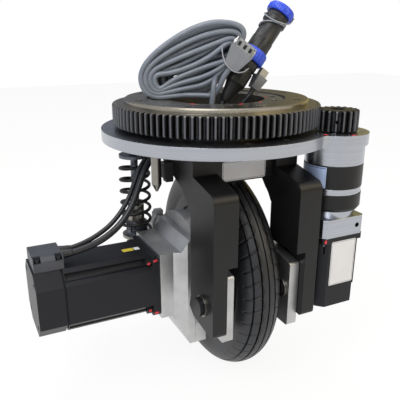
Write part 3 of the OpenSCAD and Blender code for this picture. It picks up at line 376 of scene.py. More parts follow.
# Name, profile, heights between which faces are picked, how many faces repeat and how many of them
# are picked, their margin and height over the wall (below it if negative), and the edges' rounding
for name, profile, (foot, top), (period, wide), margin, raised, rounded in (
        ("plug_grip", [(5.2, 0), (6.4, 0.5), (7, 6), (8, 12), (9.4, 18), (10.6, 22), (11.2, 24), (12.3, 25.4),
                       (12.8, 27), (12.8, 44), (11.9, 45), (11.9, 47), (12.9, 48), (12.9, 57.6), (12.2, 58)],
         (27.5, 43.5), (6, 3), 0.5, -0.7, 0.3),
        ("plug_ring", [(13.4, 58), (15.4, 58), (16, 59.5), (16, 71.5), (15.4, 73), (12.5, 73)],
         (60, 71), (2, 1), 0.25, 0.5, 0.25),
        ("plug_socket", [(12.6, 73), (13.6, 73.4), (13.6, 88), (12.9, 89), (12.9, 110), (13.2, 111),
                         (14.8, 112), (14.8, 118), (13.8, 119), (13.8, 124.5)],
         (73.5, 87.8), (4, 2), 0.4, -0.6, 0.3),
        ("socket_lid", [(14, 124), (16.4, 124), (16.8, 125), (16.8, 132), (15.6, 134), (12.5, 134.8),
                        (11.5, 134), (4, 134)],
         (125.4, 131.8), (4, 2), 0.3, 0.5, 0.3)):
    piece = turned(name, profile, PLUG_SIDES)
    pick_faces(piece, lambda c, n: foot * MM < c.z < top * MM and abs(n.z) < 0.1
               and is_rib(c, PLUG_SIDES, period, wide))
    bpy.ops.mesh.inset(thickness=margin * MM, depth=raised * MM, use_even_offset=True)
    connector.append(finish_mesh(piece, plug_place, rounded))
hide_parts("power_plug")
for piece in connector:
    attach(piece, "carriage")
print("power connector:", [len(p.data.polygons) for p in connector], "faces")

# %% [markdown]
# ## Shielded connectors
# The grey cable ends in a square hood with a metal shell, screwed on with two knurled thumbscrews.
# A second, smaller hood sits behind the round plug on the encoder's cable. A box gives the outline;
# its long edges are rounded, its foot is drawn in where the cable enters, and the shell is
# set on its top face with the same middle. The shell's clips and slots are pockets whose floor is
# painted black, as painted shade deep in the slots.

# %% Hood with a metal shell
def shielded_hood(name, wide, thick, high, place):
    """A grey hood on the Z axis with its foot at the origin, and the shell that stands on it."""
    fresh_start()
    bpy.ops.mesh.primitive_cube_add(size=1, location=(0, 0, high / 2 * MM))
    hood = bpy.context.object
    hood.name = name
    hood.scale = (wide * MM, thick * MM, high * MM)
    bpy.ops.object.transform_apply(location=True, scale=True)
    pick_faces(hood, lambda c, n: n.z < -0.5)
    bpy.ops.transform.resize(value=(0.62, 0.8, 1), center_override=(0, 0, 0))
    bpy.ops.transform.translate(value=(0, 0, 0.1 * MM))
    pick_faces(hood, lambda c, n: abs(n.y) > 0.5)
    bpy.ops.mesh.inset(thickness=2.2 * MM, depth=-0.6 * MM)
    pick_faces(hood, lambda c, n: n.z > 0.5)
    bpy.ops.mesh.inset(thickness=1.1 * MM, depth=0)
    bpy.ops.mesh.inset(thickness=0.6 * MM, depth=-1.0 * MM)
    finish_mesh(hood, place, 0.5)
    bpy.ops.object.select_all(action="DESELECT")
    bpy.ops.mesh.primitive_cube_add(size=1, location=(0, 0, (high + 4) * MM))
    shell = bpy.context.object
    shell.name = name + "_shell"
    shell.scale = ((wide - 8) * MM, (thick - 4) * MM, 11.4 * MM)
    bpy.ops.object.transform_apply(location=True, scale=True)
    two_finishes(shell)
    pick_faces(shell, lambda c, n: n.z > 0.5)
    bpy.ops.mesh.inset(thickness=0.6 * MM, depth=0)
    bpy.ops.mesh.inset(thickness=0.1 * MM, depth=-3.0 * MM)
    bpy.ops.mesh.inset(thickness=1.4 * MM, depth=2.2 * MM)
    pick_faces(shell, lambda c, n: abs(n.y) > 0.9 and abs(c.y) > (thick - 4.2) / 2 * MM)
    bpy.ops.mesh.inset(thickness=1.2 * MM, depth=0)
    bpy.ops.mesh.subdivide(number_cuts=4)
    bpy.ops.mesh.select_all(action="DESELECT")
    step = (wide - 10.4) / 5 * MM
    pick_faces(shell, lambda c, n: abs(n.y) > 0.9 and abs(c.y) > (thick - 4.2) / 2 * MM
               and abs(c.x) < 2.4 * step and c.z > (high + 1.5) * MM and round(c.x / step) % 2 == 0)
    bpy.ops.mesh.inset(thickness=0.3 * MM, depth=-1.2 * MM)
    # The pocket floors take the black second finish: painted shade deep in the slots.
    finish_picked(shell, 1)
    finish_mesh(shell, place)
    return hood, shell


hood_place = to_hank @ Matrix.Translation(Vector(HOOD_FOOT) * MM) @ Matrix.Rotation(LEAN, 4, "Y")
hood, hood_shell = shielded_hood("control_hood", 29, 14.4, 25, hood_place)
small_place = Matrix.Translation(encoder_foot) @ Matrix.Rotation(-LEAN, 4, "X")
small_hood, small_shell = shielded_hood("encoder_hood", 14.6, 14.6, 17.4, small_place)
SCREW_SIDES, SCREW_OFF = 20, 12.5 * MM
thumbscrew = turned("hood_screw", [(1.8, 24.8), (1.9, 25.2), (1.9, 31), (1.6, 31.5), (1.2, 31.6), (1.2, 34),
                                   (0.8, 34.5)], SCREW_SIDES)
pick_faces(thumbscrew, lambda c, n: 0.0252 < c.z < 0.0308 and abs(n.z) < 0.1
           and is_rib(c, SCREW_SIDES, 2, 1))
bpy.ops.mesh.inset(thickness=0.1 * MM, depth=0.25 * MM)
bpy.ops.object.mode_set(mode="OBJECT")
second_screw = copy_of(thumbscrew, "hood_screw_2")
finish_mesh(thumbscrew, hood_place @ Matrix.Translation((-SCREW_OFF, 0, 0)), 0.15)
finish_mesh(second_screw, hood_place @ Matrix.Translation((SCREW_OFF, 0, 0)), 0.15)
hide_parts("control_plug")
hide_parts("encoder_plug")
for piece, finish_slot in ((hood, "hood_grey"), (small_hood, "hood_grey"), (hood_shell, "steel_screw"),
                           (small_shell, "steel_screw"), (thumbscrew, "steel_screw"),
                           (second_screw, "steel_screw")):
    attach(piece, "carriage")
print("hood has", len(hood.data.polygons), "faces, its shell", len(hood_shell.data.polygons))

# %% [markdown]
# ## Strain reliefs
# Where the black cables leave the motor's cap, a tapered rubber boot keeps them from kinking.

# %% Boots at the motor's cap
CAP_Y, CAP_Z = -206 * MM, -170 * MM
for name, x, radius in (("power_boot", 8, 4.0), ("encoder_boot", -6, 3.0)):
    profile = [(1.7, 0), (1.7, 2.4), (1.3, 4), (1, 8), (0.7, 12), (0.3, 14)]
    boot = turned(name, [(radius + wall, along) for wall, along in profile], 32)
    out_of_cap = Matrix.Translation((x * MM, CAP_Y, CAP_Z)) @ Matrix.Rotation(math.radians(-90), 4, "X")
    finish_mesh(boot, out_of_cap, 0.25)
    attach(boot, "swing_arm")

# %% [markdown]
# ## Straps and a tie
# The socket's lid is kept by two thin nylon straps, and a nylon tie holds the square hood against
# the round plug. Each is a short round strip, so it is a curve with a thickness, like the cables,
# through points that are given round the plug's axis or in the hank's own millimetres.

# %% Lid straps and the tie round the hood
def round_plug(radius, degrees, height):
    """A place round the plug's axis, in its own millimetres, as a place on the object."""
    angle = math.radians(degrees)
    return plug_place @ (Vector((radius * math.cos(angle), radius * math.sin(angle), height)) * MM)


droop = [round_plug(*p) for p in ((15.6, -118, 118), (16.6, -92, 114), (17.2, -62, 110.6), (17.4, -32, 110),
                                  (17.4, -4, 112.5), (17.2, 24, 116.5), (17.4, 46, 121),
                                  (17.9, 56, 126), (17.8, 56, 131))]
crossing = [round_plug(*p) for p in ((13.7, -122, 101), (14.8, -90, 103.5), (15.6, -55, 107), (16, -20, 110),
                                     (16.2, 15, 113), (15.6, 40, 115.5))]
round_hood = [in_hank(*p) for p in ((21, -24, 61), (21.5, -33, 53), (25, -38.4, 43), (31, -39.6, 36.2),
                                    (38.5, -39, 33), (46, -36, 33.6), (52, -30, 37))]
straps = []
for name, points, thick in (("lid_strap", droop, 1.5), ("lid_strap_2", crossing, 1.7),
                            ("hood_tie", round_hood, 1.5)):
    strap = cable_along(name, smooth_line(points, 5), thick * MM, 2)
    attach(strap, "carriage")
    straps.append(strap)
print("straps:", [round(length_of(points) * 1000) for points in (droop, crossing, round_hood)], "mm long")

# %% [markdown]
# ## Stickers and paint marks
# A paper rating label sits on the fork's cross piece, one on the steering motor and one round its
# gearbox; they are left bare, with only a printed frame. A sticker is a thin sheet with rounded
# corners, so it starts as a plane whose corners are bevelled, and gets its thickness by an
# extrusion. The printed frame is a narrow strip of faces between two insets, with ink as its finish.

# %% Flat labels
def sticker(name, wide, high, corner, frame_in, place):
    """A thin label in the XY plane, facing +Z. Its second finish is the ink of a printed frame."""
    fresh_start()
    bpy.ops.mesh.primitive_plane_add(size=1)
    label = bpy.context.object
    label.name = name
    label.scale = (wide * MM, high * MM, 1)
    bpy.ops.object.transform_apply(scale=True)
    two_finishes(label)
    bpy.ops.object.mode_set(mode="EDIT")
    bpy.ops.mesh.select_all(action="SELECT")
    bpy.ops.mesh.bevel(offset=corner * MM, segments=4, affect="VERTICES")
    bpy.ops.mesh.select_all(action="SELECT")
    bpy.ops.mesh.extrude_region_move(TRANSFORM_OT_translate={"value": (0, 0, 0.2 * MM)})
    if frame_in:
        bpy.ops.mesh.inset(thickness=frame_in * MM, depth=0)
        finish_picked(label, 1)
        bpy.ops.mesh.inset(thickness=0.4 * MM, depth=0)
        finish_picked(label, 0)
    bpy.ops.mesh.select_all(action="SELECT")
    bpy.ops.mesh.normals_make_consistent(inside=False)
    return finish_mesh(label, place, smooth=0)


OFF_FACE = 0.05 * MM
facing_front = Matrix.Rotation(math.radians(90), 4, "Z") @ Matrix.Rotation(math.radians(90), 4, "X")
low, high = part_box("fork_bridge")
bridge_label = sticker("bridge_label", 58, 23, 2.2, 1.0,
                       Matrix.Translation((high.x + OFF_FACE, 0, high.z - 28 * MM)) @ facing_front)
low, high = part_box("steer_motor")
middle = (low + high) / 2
label_spot = Matrix.Translation((high.x + OFF_FACE, middle.y + 1 * MM, middle.z - 1 * MM))
motor_label = sticker("motor_label", 37, 58, 2.2, 1.0, label_spot @ facing_front)
low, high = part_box("drive_motor")
phase_sticker = sticker("phase_sticker", 8, 14, 0.8, 0,
                        Matrix.Translation((0.004, high.y - 0.028, high.z + OFF_FACE)))
blank_sticker = sticker("blank_sticker", 8, 7, 0.8, 0,
                        Matrix.Translation((0.004, high.y - 0.0165, high.z + OFF_FACE)))
for label, body in ((bridge_label, "carriage"), (motor_label, "carriage"), (phase_sticker, "swing_arm"),
                    (blank_sticker, "swing_arm")):
    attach(label, body)
print("flat labels on the bridge, the steering motor and the drive motor")

# %% A label bent round the steering gearbox
low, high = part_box("steer_upper_band")
middle = (low + high) / 2
band_radius = (high.x - low.x) / 2
bpy.ops.object.select_all(action="DESELECT")
bpy.ops.mesh.primitive_cylinder_add(vertices=180, radius=band_radius + OFF_FACE,
                                    depth=high.z - low.z - 3 * MM, end_fill_type="NOTHING")
band_label = bpy.context.object
band_label.name = "band_label"
two_finishes(band_label)
pick_faces(band_label, lambda c, n: not -132 < math.degrees(math.atan2(c.y, c.x)) < -53)
bpy.ops.mesh.delete(type="FACE")
bpy.ops.mesh.select_all(action="SELECT")
bpy.ops.mesh.inset(thickness=1.2 * MM, depth=0, use_boundary=True)
finish_picked(band_label, 1)
bpy.ops.mesh.inset(thickness=0.7 * MM, depth=0, use_boundary=True)
finish_picked(band_label, 0)
bpy.ops.object.mode_set(mode="OBJECT")
begin(band_label)
thickness = band_label.modifiers.new("thickness", "SOLIDIFY")
thickness.thickness = 0.15 * MM
thickness.offset = 1
bpy.ops.object.modifier_apply(modifier="thickness")
finish_mesh(band_label, Matrix.Translation(middle))
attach(band_label, "carriage")
print("bent label has", len(band_label.data.polygons), "faces")

# %% Dabs of red locking paint
FACE_UP = Matrix.Identity(4)
FACE_FRONT = Matrix.Rotation(math.radians(90), 4, "Y")


def paint_dab(name, place, wide, long_, turn, body, facing):
    """A thin drop of paint, drawn out along its length, on a face that looks up or to the front."""
    dab = turned(name, [(1, 0), (0.95, 0.12), (0.7, 0.26), (0.3, 0.32)], 20)
    begin(dab)
    bpy.ops.object.mode_set(mode="EDIT")
    bpy.ops.mesh.select_all(action="SELECT")
    bpy.ops.transform.resize(value=(wide, long_, 1), center_override=(0, 0, 0))
    turned_to = Matrix.Rotation(math.radians(turn), 4, "Z")
    finish_mesh(dab, Matrix.Translation(place) @ facing @ turned_to, smooth=60)
    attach(dab, body)
    return dab


dabs = []
low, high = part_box("inner_ring")
for number, degrees in enumerate((-52, -1, 27, 75)):
    spot = Matrix.Rotation(math.radians(degrees), 4, "Z") @ Vector((0.064, 0, high.z))
    dabs.append(paint_dab(f"ring_dab_{number}", spot, 1.5, 3.4, degrees + 15, "carriage", FACE_UP))
low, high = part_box("drive_motor")
for number, (x, y, from_edge, long_) in enumerate(((40, -101, 4.5, 3.0), (37.5, -108.5, 8, 2.2))):
    for edge, sign in (("top", -1), ("foot", 1)):
        level = (high.z if edge == "top" else low.z) + sign * from_edge * MM
        dabs.append(paint_dab(f"motor_{edge}_dab_{number}", Vector((x * MM, y * MM, level)), 1.6, long_, 8,
                              "swing_arm", FACE_FRONT))
low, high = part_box("steer_motor")
dabs.append(paint_dab("steer_corner_dab", Vector((high.x, low.y + 3 * MM, high.z - 3.5 * MM)), 2.6, 1.6, 0,
                      "carriage", FACE_FRONT))
low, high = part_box("steering_plate")
for number, (x, y) in enumerate(((115.5, 80.5), (132.4, 107))):
    dabs.append(paint_dab(f"lobe_dab_{number}", Vector((x * MM, y * MM, high.z)), 1.6, 3.2, 40 * number - 50,
                          "carriage", FACE_UP))
print(len(dabs), "dabs of paint")

# %% [markdown]
# ## Finishes
# Every surface gets a material that is named for what it is made of. Colours are written as the hex
# values that a colour picker gives, so one function turns them to the linear values that
# Blender counts in. One more function adds a node with its settings and links.

# %% Colour and node helpers
def colour(hex_value):
    """A hex sRGB colour as linear red, green, blue and alpha."""
    parts = [int(hex_value[k:k + 2], 16) / 255 for k in (1, 3, 5)]
    return [c / 12.92 if c <= 0.04045 else ((c + 0.055) / 1.055) ** 2.4 for c in parts] + [1]


def fit(tree, node, settings=(), links=()):
    """Set a node's values, a ramp's tones as (position, hex) pairs, and the sockets that feed it."""
    for key, value in dict(settings).items():
        if key == "tones":
            for stop, (position, tint) in zip(node.color_ramp.elements, value):
                stop.position, stop.color = position, colour(tint)
        elif isinstance(key, str) and hasattr(node, key):
            setattr(node, key, value)
        else:
            node.inputs[key].default_value = value
    for key, (source, output) in dict(links).items():
        tree.links.new(source.outputs[output], node.inputs[key])
    return node


def add(tree, kind, settings=(), links=()):
    """One new node in a material, with its settings and the sockets that feed it."""
    return fit(tree, tree.nodes.new("ShaderNode" + kind), settings, links)


def new_finish(name):
    """A material of that name, and its tree and surface shader."""
    finish = bpy.data.materials.new(name)
    finish.use_nodes = True
    return finish, finish.node_tree, finish.node_tree.nodes["Principled BSDF"]


def cover(finish, *names):
    """Give a finish to CAD nodes or pieces by name."""
    for name in names:
        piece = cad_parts[name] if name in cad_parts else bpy.data.objects[name]
        piece.data.materials.clear()
        piece.data.materials.append(finish)


print("red #c4202b is linear", [round(c, 3) for c in colour("#c4202b")[:3]])

# %% [markdown]
# ### Metals
# Turned and ground metal shows fine lines where the tool went round. Noise stretched along the cut
# gives them; real lines are a few hundredths of a millimetre apart, which a picture can't show, so
# they are drawn about half a millimetre apart. Real edges are never quite sharp, and the thin line
# of light on them tells the eye that a thing is metal: a Bevel node rounds the shading there, and
# the shape stays as it is.

# %% Turned aluminium, with lines round the axis: bright, with streaks that follow the light
turned_alloy, tree, shader = new_finish("turned_aluminium")
place = add(tree, "TexCoord")
stretch = add(tree, "Mapping", {"Scale": (6, 6, 1900)}, {"Vector": (place, "Object")})
lines = add(tree, "TexNoise", {"Scale": 1.0, "Detail": 3.0}, {"Vector": (stretch, "Vector")})
cloud = add(tree, "TexNoise", {"Scale": 28.0, "Detail": 2.0}, {"Vector": (place, "Object")})
tone = add(tree, "ValToRGB", {"tones": ((0.25, "#a6a9b0"), (0.75, "#babdc3"))}, {"Fac": (lines, "Fac")})
rough = add(tree, "MapRange", {"To Min": 0.2, "To Max": 0.32}, {"Value": (cloud, "Fac")})
edge = add(tree, "Bevel", {"samples": 4, "Radius": 0.0007})
bump = add(tree, "Bump", {"Strength": 0.05, "Distance": 0.0002},
           {"Height": (lines, "Fac"), "Normal": (edge, "Normal")})
fit(tree, shader, {"Metallic": 1.0},
    {"Base Color": (tone, "Color"), "Roughness": (rough, "Result"), "Normal": (bump, "Normal")})
cover(turned_alloy, "steering_plate", "steer_head", "steer_mid_ring", "steer_adapter", "shock_bracket")
print("turned aluminium on 5 nodes")

# %% Milled aluminium, matte from the cutter: pale grey, with no clear reflection
milled_alloy, tree, shader = new_finish("milled_aluminium")
place = add(tree, "TexCoord")
stretch = add(tree, "Mapping", {"Scale": (900, 60, 60)}, {"Vector": (place, "Object")})
cutter = add(tree, "TexNoise", {"Scale": 1.0, "Detail": 2.0}, {"Vector": (stretch, "Vector")})
cloud = add(tree, "TexNoise", {"Scale": 35.0, "Detail": 3.0}, {"Vector": (place, "Object")})
tone = add(tree, "ValToRGB", {"tones": ((0.3, "#b4b4b5"), (0.7, "#cdcdcc"))}, {"Fac": (cloud, "Fac")})
rough = add(tree, "MapRange", {"To Min": 0.36, "To Max": 0.5}, {"Value": (cutter, "Fac")})
edge = add(tree, "Bevel", {"samples": 4, "Radius": 0.0008})
bump = add(tree, "Bump", {"Strength": 0.08, "Distance": 0.0002},
           {"Height": (cutter, "Fac"), "Normal": (edge, "Normal")})
fit(tree, shader, {"Metallic": 1.0},
    {"Base Color": (tone, "Color"), "Roughness": (rough, "Result"), "Normal": (bump, "Normal")})
cover(milled_alloy, "arm_left", "arm_right", "gearbox", "shock_lug")
print("milled aluminium on 4 nodes")

# %% Blackened gear steel: darker toward the tooth roots as painted shade in the gaps, brighter at the tips, and bright on the ground top
def gear_finish(name, centre, root, tip, top):
    """Dark steel that brightens from the root radius to the tip radius, so the tooth gaps carry painted
    shade, and brightens above a ground top, in mm.
    """
    finish, tree, shader = new_finish(name)
    place = add(tree, "TexCoord")
    split = add(tree, "SeparateXYZ", (), {"Vector": (place, "Object")})
    flat = add(tree, "Mapping", {"Location": (-centre.x, -centre.y, 0), "Scale": (1, 1, 0)},
               {"Vector": (place, "Object")})
    reach = add(tree, "VectorMath", {"operation": "LENGTH"}, {0: (flat, "Vector")})
    oil = add(tree, "TexNoise", {"Scale": 160.0, "Detail": 4.0}, {"Vector": (place, "Object")})
    tone = add(tree, "ValToRGB", {"tones": ((0.3, "#29292b"), (0.75, "#424243"))}, {"Fac": (oil, "Fac")})
    # Painted shade: the colour darkens from the tip radius down to the tooth roots, in the gaps.
    gap_shade_and_tip_wear = add(tree, "MapRange", {"From Min": root * MM, "From Max": tip * MM}, {"Value": (reach, "Value")})
    teeth = add(tree, "Mix", {"data_type": "RGBA", 7: colour("#6c6d71")},
                {0: (gap_shade_and_tip_wear, "Result"), 6: (tone, "Color")})
    ground = add(tree, "MapRange", {"From Min": (top - 0.4) * MM, "From Max": (top + 0.2) * MM},
                 {"Value": (split, "Z")})
    tone_with_painted_shade = add(tree, "Mix", {"data_type": "RGBA", 7: colour("#a09a8d")},
                {0: (ground, "Result"), 6: (teeth, 2)})
    rough = add(tree, "MapRange", {"To Min": 0.42, "To Max": 0.22}, {"Value": (ground, "Result")})
    edge = add(tree, "Bevel", {"samples": 4, "Radius": 0.0005})
    bump = add(tree, "Bump", {"Strength": 0.12, "Distance": 0.0002},
               {"Height": (oil, "Fac"), "Normal": (edge, "Normal")})
    fit(tree, shader, {"Metallic": 1.0},
        {"Base Color": (tone_with_painted_shade, 2), "Roughness": (rough, "Result"), "Normal": (bump, "Normal")})
    return finish


low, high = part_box("pinion")
cover(gear_finish("blackened_gear_steel", Vector((0, 0, 0)), 124.5, 127.3, -6), "gear_ring")
cover(gear_finish("blackened_pinion_steel", (low + high) / 2, 22.6, 25.0, 100), "pinion")
print("gear ring and pinion done")

# %% Ground steel: grey and a little warm, with small broken highlights
ground_steel, tree, shader = new_finish("ground_steel")
place = add(tree, "TexCoord")
grit = add(tree, "TexNoise", {"Scale": 420.0, "Detail": 3.0}, {"Vector": (place, "Object")})
tone = add(tree, "ValToRGB", {"tones": ((0, "#7b7973"), (1, "#a5a19a"))}, {"Fac": (grit, "Fac")})
rough = add(tree, "MapRange", {"To Min": 0.24, "To Max": 0.4}, {"Value": (grit, "Fac")})
edge = add(tree, "Bevel", {"samples": 4, "Radius": 0.0006})
fit(tree, shader, {"Metallic": 1.0},
    {"Base Color": (tone, "Color"), "Roughness": (rough, "Result"), "Normal": (edge, "Normal")})
cover(ground_steel, "inner_ring", "stop_pin", "axle", "axle_nut", "left_bearing", "right_bearing",
      "bearing_balls", "pivot_rings", "shock_top_pin", "shock_stud", "pinion_shaft", "shock_tube")
print("ground steel on 12 nodes")

# %% Steels and bronze whose surface is only clouded
def clouded_metal(name, scale, dark, light, metallic, roughness, rounded=0):
    """A metal that clouds between two colours, with its edges rounded by so much."""
    finish, tree, shader = new_finish(name)
    place = add(tree, "TexCoord")
    cloud = add(tree, "TexNoise", {"Scale": scale, "Detail": 2.0}, {"Vector": (place, "Object")})
    tone = add(tree, "ValToRGB", {"tones": ((0, dark), (1, light))}, {"Fac": (cloud, "Fac")})
    fit(tree, shader, {"Metallic": metallic, "Roughness": roughness}, {"Base Color": (tone, "Color")})
    if rounded:
        edge = add(tree, "Bevel", {"samples": 4, "Radius": rounded})
        fit(tree, shader, (), {"Normal": (edge, "Normal")})
    return finish


# Phosphated steel of the shock absorber is a dark blue-grey with a soft sheen.
cover(clouded_metal("phosphated_steel", 600.0, "#575a63", "#6f727c", 0.8, 0.38, 0.0006), "shock_rod",
      "preload_nut")
# Zinc-plated screws are bright and faintly clouded.
zinc = clouded_metal("zinc_plated_steel", 300.0, "#a3a4a5", "#cfcec9", 1.0, 0.3)
cover(zinc, "plate_screws", "gearbox_screws", "steer_screws", "wheel_bolts", "hood_screw", "hood_screw_2")
# Black-oxide screws are dark, with a dull gleam on the heads.
cover(clouded_metal("black_oxide_steel", 250.0, "#1b1b1d", "#303033", 0.6, 0.4, 0.0005), "ring_screws",
      "fork_screws", "pinion_set_screw", "cap_screws", "motor_screws", "pivot_pins")
# Sintered bronze of the pivot bushes is brown-gold and porous, so it is never shiny.
cover(clouded_metal("sintered_bronze", 800.0, "#7a5a2c", "#a17d45", 1.0, 0.48), "pivot_bushes")
print("clouded steels and bronze done")

# %% [markdown]
# ### Paint, plastic and rubber
# The castings are painted satin black, the motors are black anodised, and the caps are moulded.
# Black things are not all one black: the height of the gloss and the fine grain tell them apart.

# %% Satin black paint on castings: deep black, with a broad soft gloss and bright edges
paint, tree, shader = new_finish("satin_black_paint")
place = add(tree, "TexCoord")
peel = add(tree, "TexNoise", {"Scale": 700.0, "Detail": 2.0}, {"Vector": (place, "Object")})
cloud = add(tree, "TexNoise", {"Scale": 30.0, "Detail": 3.0}, {"Vector": (place, "Object")})
tone = add(tree, "ValToRGB", {"tones": ((0, "#0f0f10"), (1, "#1a1a1b"))}, {"Fac": (cloud, "Fac")})
rough = add(tree, "MapRange", {"To Min": 0.34, "To Max": 0.46}, {"Value": (cloud, "Fac")})
edge = add(tree, "Bevel", {"samples": 4, "Radius": 0.0009})
bump = add(tree, "Bump", {"Strength": 0.15, "Distance": 0.0002},
           {"Height": (peel, "Fac"), "Normal": (edge, "Normal")})
fit(tree, shader, {"Specular IOR Level": 0.32},
    {"Base Color": (tone, "Color"), "Roughness": (rough, "Result"), "Normal": (bump, "Normal")})
cover(paint, "fork_left", "fork_right", "fork_bridge", "rim", "shock_spring", "coil_spring",
      "steer_upper_band", "steer_lower_band")
print("paint on 7 nodes and the spring")

# %% Black anodised motor cases: a cooler, finer black than the paint
anodised, tree, shader = new_finish("black_anodised_aluminium")
place = add(tree, "TexCoord")
grain = add(tree, "TexNoise", {"Scale": 900.0, "Detail": 2.0}, {"Vector": (place, "Object")})
tone = add(tree, "ValToRGB", {"tones": ((0, "#141519"), (1, "#1f2025"))}, {"Fac": (grain, "Fac")})
edge = add(tree, "Bevel", {"samples": 4, "Radius": 0.0008})
bump = add(tree, "Bump", {"Strength": 0.1, "Distance": 0.0001},
           {"Height": (grain, "Fac"), "Normal": (edge, "Normal")})
fit(tree, shader, {"Metallic": 0.3, "Roughness": 0.4, "Specular IOR Level": 0.35},
    {"Base Color": (tone, "Color"), "Normal": (bump, "Normal")})
cover(anodised, "drive_motor", "motor_cover", "steer_motor", "steer_motor_base")
print("anodised aluminium on 4 nodes")

# %% Moulded plastics, paper and paint: even colour with a fine grain, drawn about a millimetre wide
def moulded(name, dark, light, roughness):
    """An even finish between two colours, with a grain that breaks its gloss a little."""
    finish, tree, shader = new_finish(name)
    place = add(tree, "TexCoord")
    grain = add(tree, "TexNoise", {"Scale": 1100.0, "Detail": 1.0}, {"Vector": (place, "Object")})
    cloud = add(tree, "TexNoise", {"Scale": 60.0, "Detail": 2.0}, {"Vector": (place, "Object")})
    tone = add(tree, "ValToRGB", {"tones": ((0, dark), (1, light))}, {"Fac": (cloud, "Fac")})
    bump = add(tree, "Bump", {"Strength": 0.12, "Distance": 0.0001}, {"Height": (grain, "Fac")})
    fit(tree, shader, {"Roughness": roughness}, {"Base Color": (tone, "Color"), "Normal": (bump, "Normal")})
    return finish


# Glass-filled nylon is a dull black, and its blue parts are clear and saturated.
black_nylon = moulded("black_nylon", "#131416", "#1d1e20", 0.45)
cover(black_nylon, "plug_grip", "plug_socket", "limit_sensor", "steer_sockets", "cable_clamp")
cover(moulded("blue_nylon", "#1f3fc0", "#2c4fd4", 0.36), "plug_ring", "socket_lid")
cover(moulded("grey_nylon", "#868a92", "#9a9ea6", 0.42), *[strap.name for strap in straps])
# The motor's cap is dark grey ABS, and the hoods are ABS with a thin metal coat.
cover(moulded("dark_grey_abs", "#34363c", "#404249", 0.46), "cable_cap")
cover(moulded("metallised_abs", "#6f7277", "#85888d", 0.34), "control_hood", "encoder_hood")
# Cable sheaths are soft PVC with a gloss that runs along them, and the seal is dull rubber.
cover(moulded("black_cable_pvc", "#15161a", "#1f2126", 0.38), "power_lead", "encoder_lead", "power_boot",
      "encoder_boot")
cover(moulded("grey_cable_pvc", "#626872", "#7b828e", 0.36), "control_cable")
cover(moulded("nitrile_rubber", "#101011", "#1a1a1b", 0.7), "ring_seal")
# Stickers are smooth film, and the locking paint is a bright red that stands out on metal.
cover(moulded("yellow_film", "#d8c02c", "#e4cf4a", 0.4), "phase_sticker")
cover(moulded("white_film", "#e4e6e8", "#eff0f1", 0.4), "blank_sticker")
cover(moulded("red_locking_paint", "#c01f29", "#d82e36", 0.35), *[dab.name for dab in dabs])
# Label paper is white or pale blue, and its printed frame is dark ink.
paper = moulded("label_paper", "#c4c4c8", "#d0d0d3", 0.5)
pale_paper = moulded("pale_blue_paper", "#9fb2d6", "#b3c3e0", 0.5)
black_ink = moulded("black_ink", "#2a2b2e", "#35363a", 0.5)
blue_ink = moulded("blue_ink", "#1c2f74", "#27408c", 0.45)
# The hood shells' second finish, black nylon, paints shade on their pocket floors.
for piece, first, second in ((bridge_label, paper, black_ink), (motor_label, paper, black_ink),
                             (band_label, pale_paper, blue_ink), (hood_shell, zinc, black_nylon),
                             (small_shell, zinc, black_nylon)):
    piece.data.materials[0], piece.data.materials[1] = first, second
print("plastics, films and paper done")

# %% [markdown]
# ### Tyre
# The tyre's tread is cut across by slits near its shoulders and by a zigzag groove on either side of
# a plain middle rib. The grooves are a few millimetres wide and shallow, so the material draws them:
# the angle round the axle counts the slits, and the distance from the middle plane places the groove.

# %% Tyre rubber with slits and a zigzag groove: a dull black, with painted shade making the grooves darker still
SLITS = 48
rubber, tree, shader = new_finish("tyre_rubber")
place = add(tree, "TexCoord")
low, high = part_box("tyre")
hub = (low + high) / 2
about_axle = add(tree, "Mapping", {"Location": -hub}, {"Vector": (place, "Object")})
split = add(tree, "SeparateXYZ", (), {"Vector": (about_axle, "Vector")})
angle = add(tree, "Math", {"operation": "ARCTAN2"}, {0: (split, "Z"), 1: (split, "X")})
count = add(tree, "Math", {"operation": "MULTIPLY", 1: SLITS / (2 * math.pi)}, {0: (angle, "Value")})
across = add(tree, "Math", {"operation": "ABSOLUTE"}, {0: (split, "Y")})
slant = add(tree, "Math", {"operation": "MULTIPLY_ADD", 1: 30.0}, {0: (across, "Value"), 2: (count, "Value")})
saw = add(tree, "Math", {"operation": "PINGPONG", 1: 0.5}, {0: (slant, "Value")})
slit = add(tree, "MapRange", {"From Min": 0.11, "From Max": 0.06}, {"Value": (saw, "Value")})
shoulder = add(tree, "MapRange", {"From Min": 0.0085, "From Max": 0.0095}, {"Value": (across, "Value")})
cut = add(tree, "Math", {"operation": "MULTIPLY"}, {0: (slit, "Result"), 1: (shoulder, "Result")})
zigzag = add(tree, "Math", {"operation": "PINGPONG", 1: 0.5}, {0: (count, "Value")})
middle_of = add(tree, "Math", {"operation": "MULTIPLY_ADD", 1: 0.006, 2: 0.0065}, {0: (zigzag, "Value")})
off = add(tree, "Math", {"operation": "SUBTRACT"}, {0: (across, "Value"), 1: (middle_of, "Value")})
apart = add(tree, "Math", {"operation": "ABSOLUTE"}, {0: (off, "Value")})
groove = add(tree, "MapRange", {"From Min": 0.0018, "From Max": 0.001}, {"Value": (apart, "Value")})
either = add(tree, "Math", {"operation": "MAXIMUM"}, {0: (cut, "Value"), 1: (groove, "Result")})
wheel_plane = add(tree, "Mapping", {"Scale": (1, 0, 1)}, {"Vector": (about_axle, "Vector")})
reach = add(tree, "VectorMath", {"operation": "LENGTH"}, {0: (wheel_plane, "Vector")})
tread = add(tree, "MapRange", {"From Min": 0.12, "From Max": 0.122}, {"Value": (reach, "Value")})
carved = add(tree, "Math", {"operation": "MULTIPLY"}, {0: (either, "Value"), 1: (tread, "Result")})
grain = add(tree, "TexNoise", {"Scale": 500.0, "Detail": 3.0}, {"Vector": (place, "Object")})
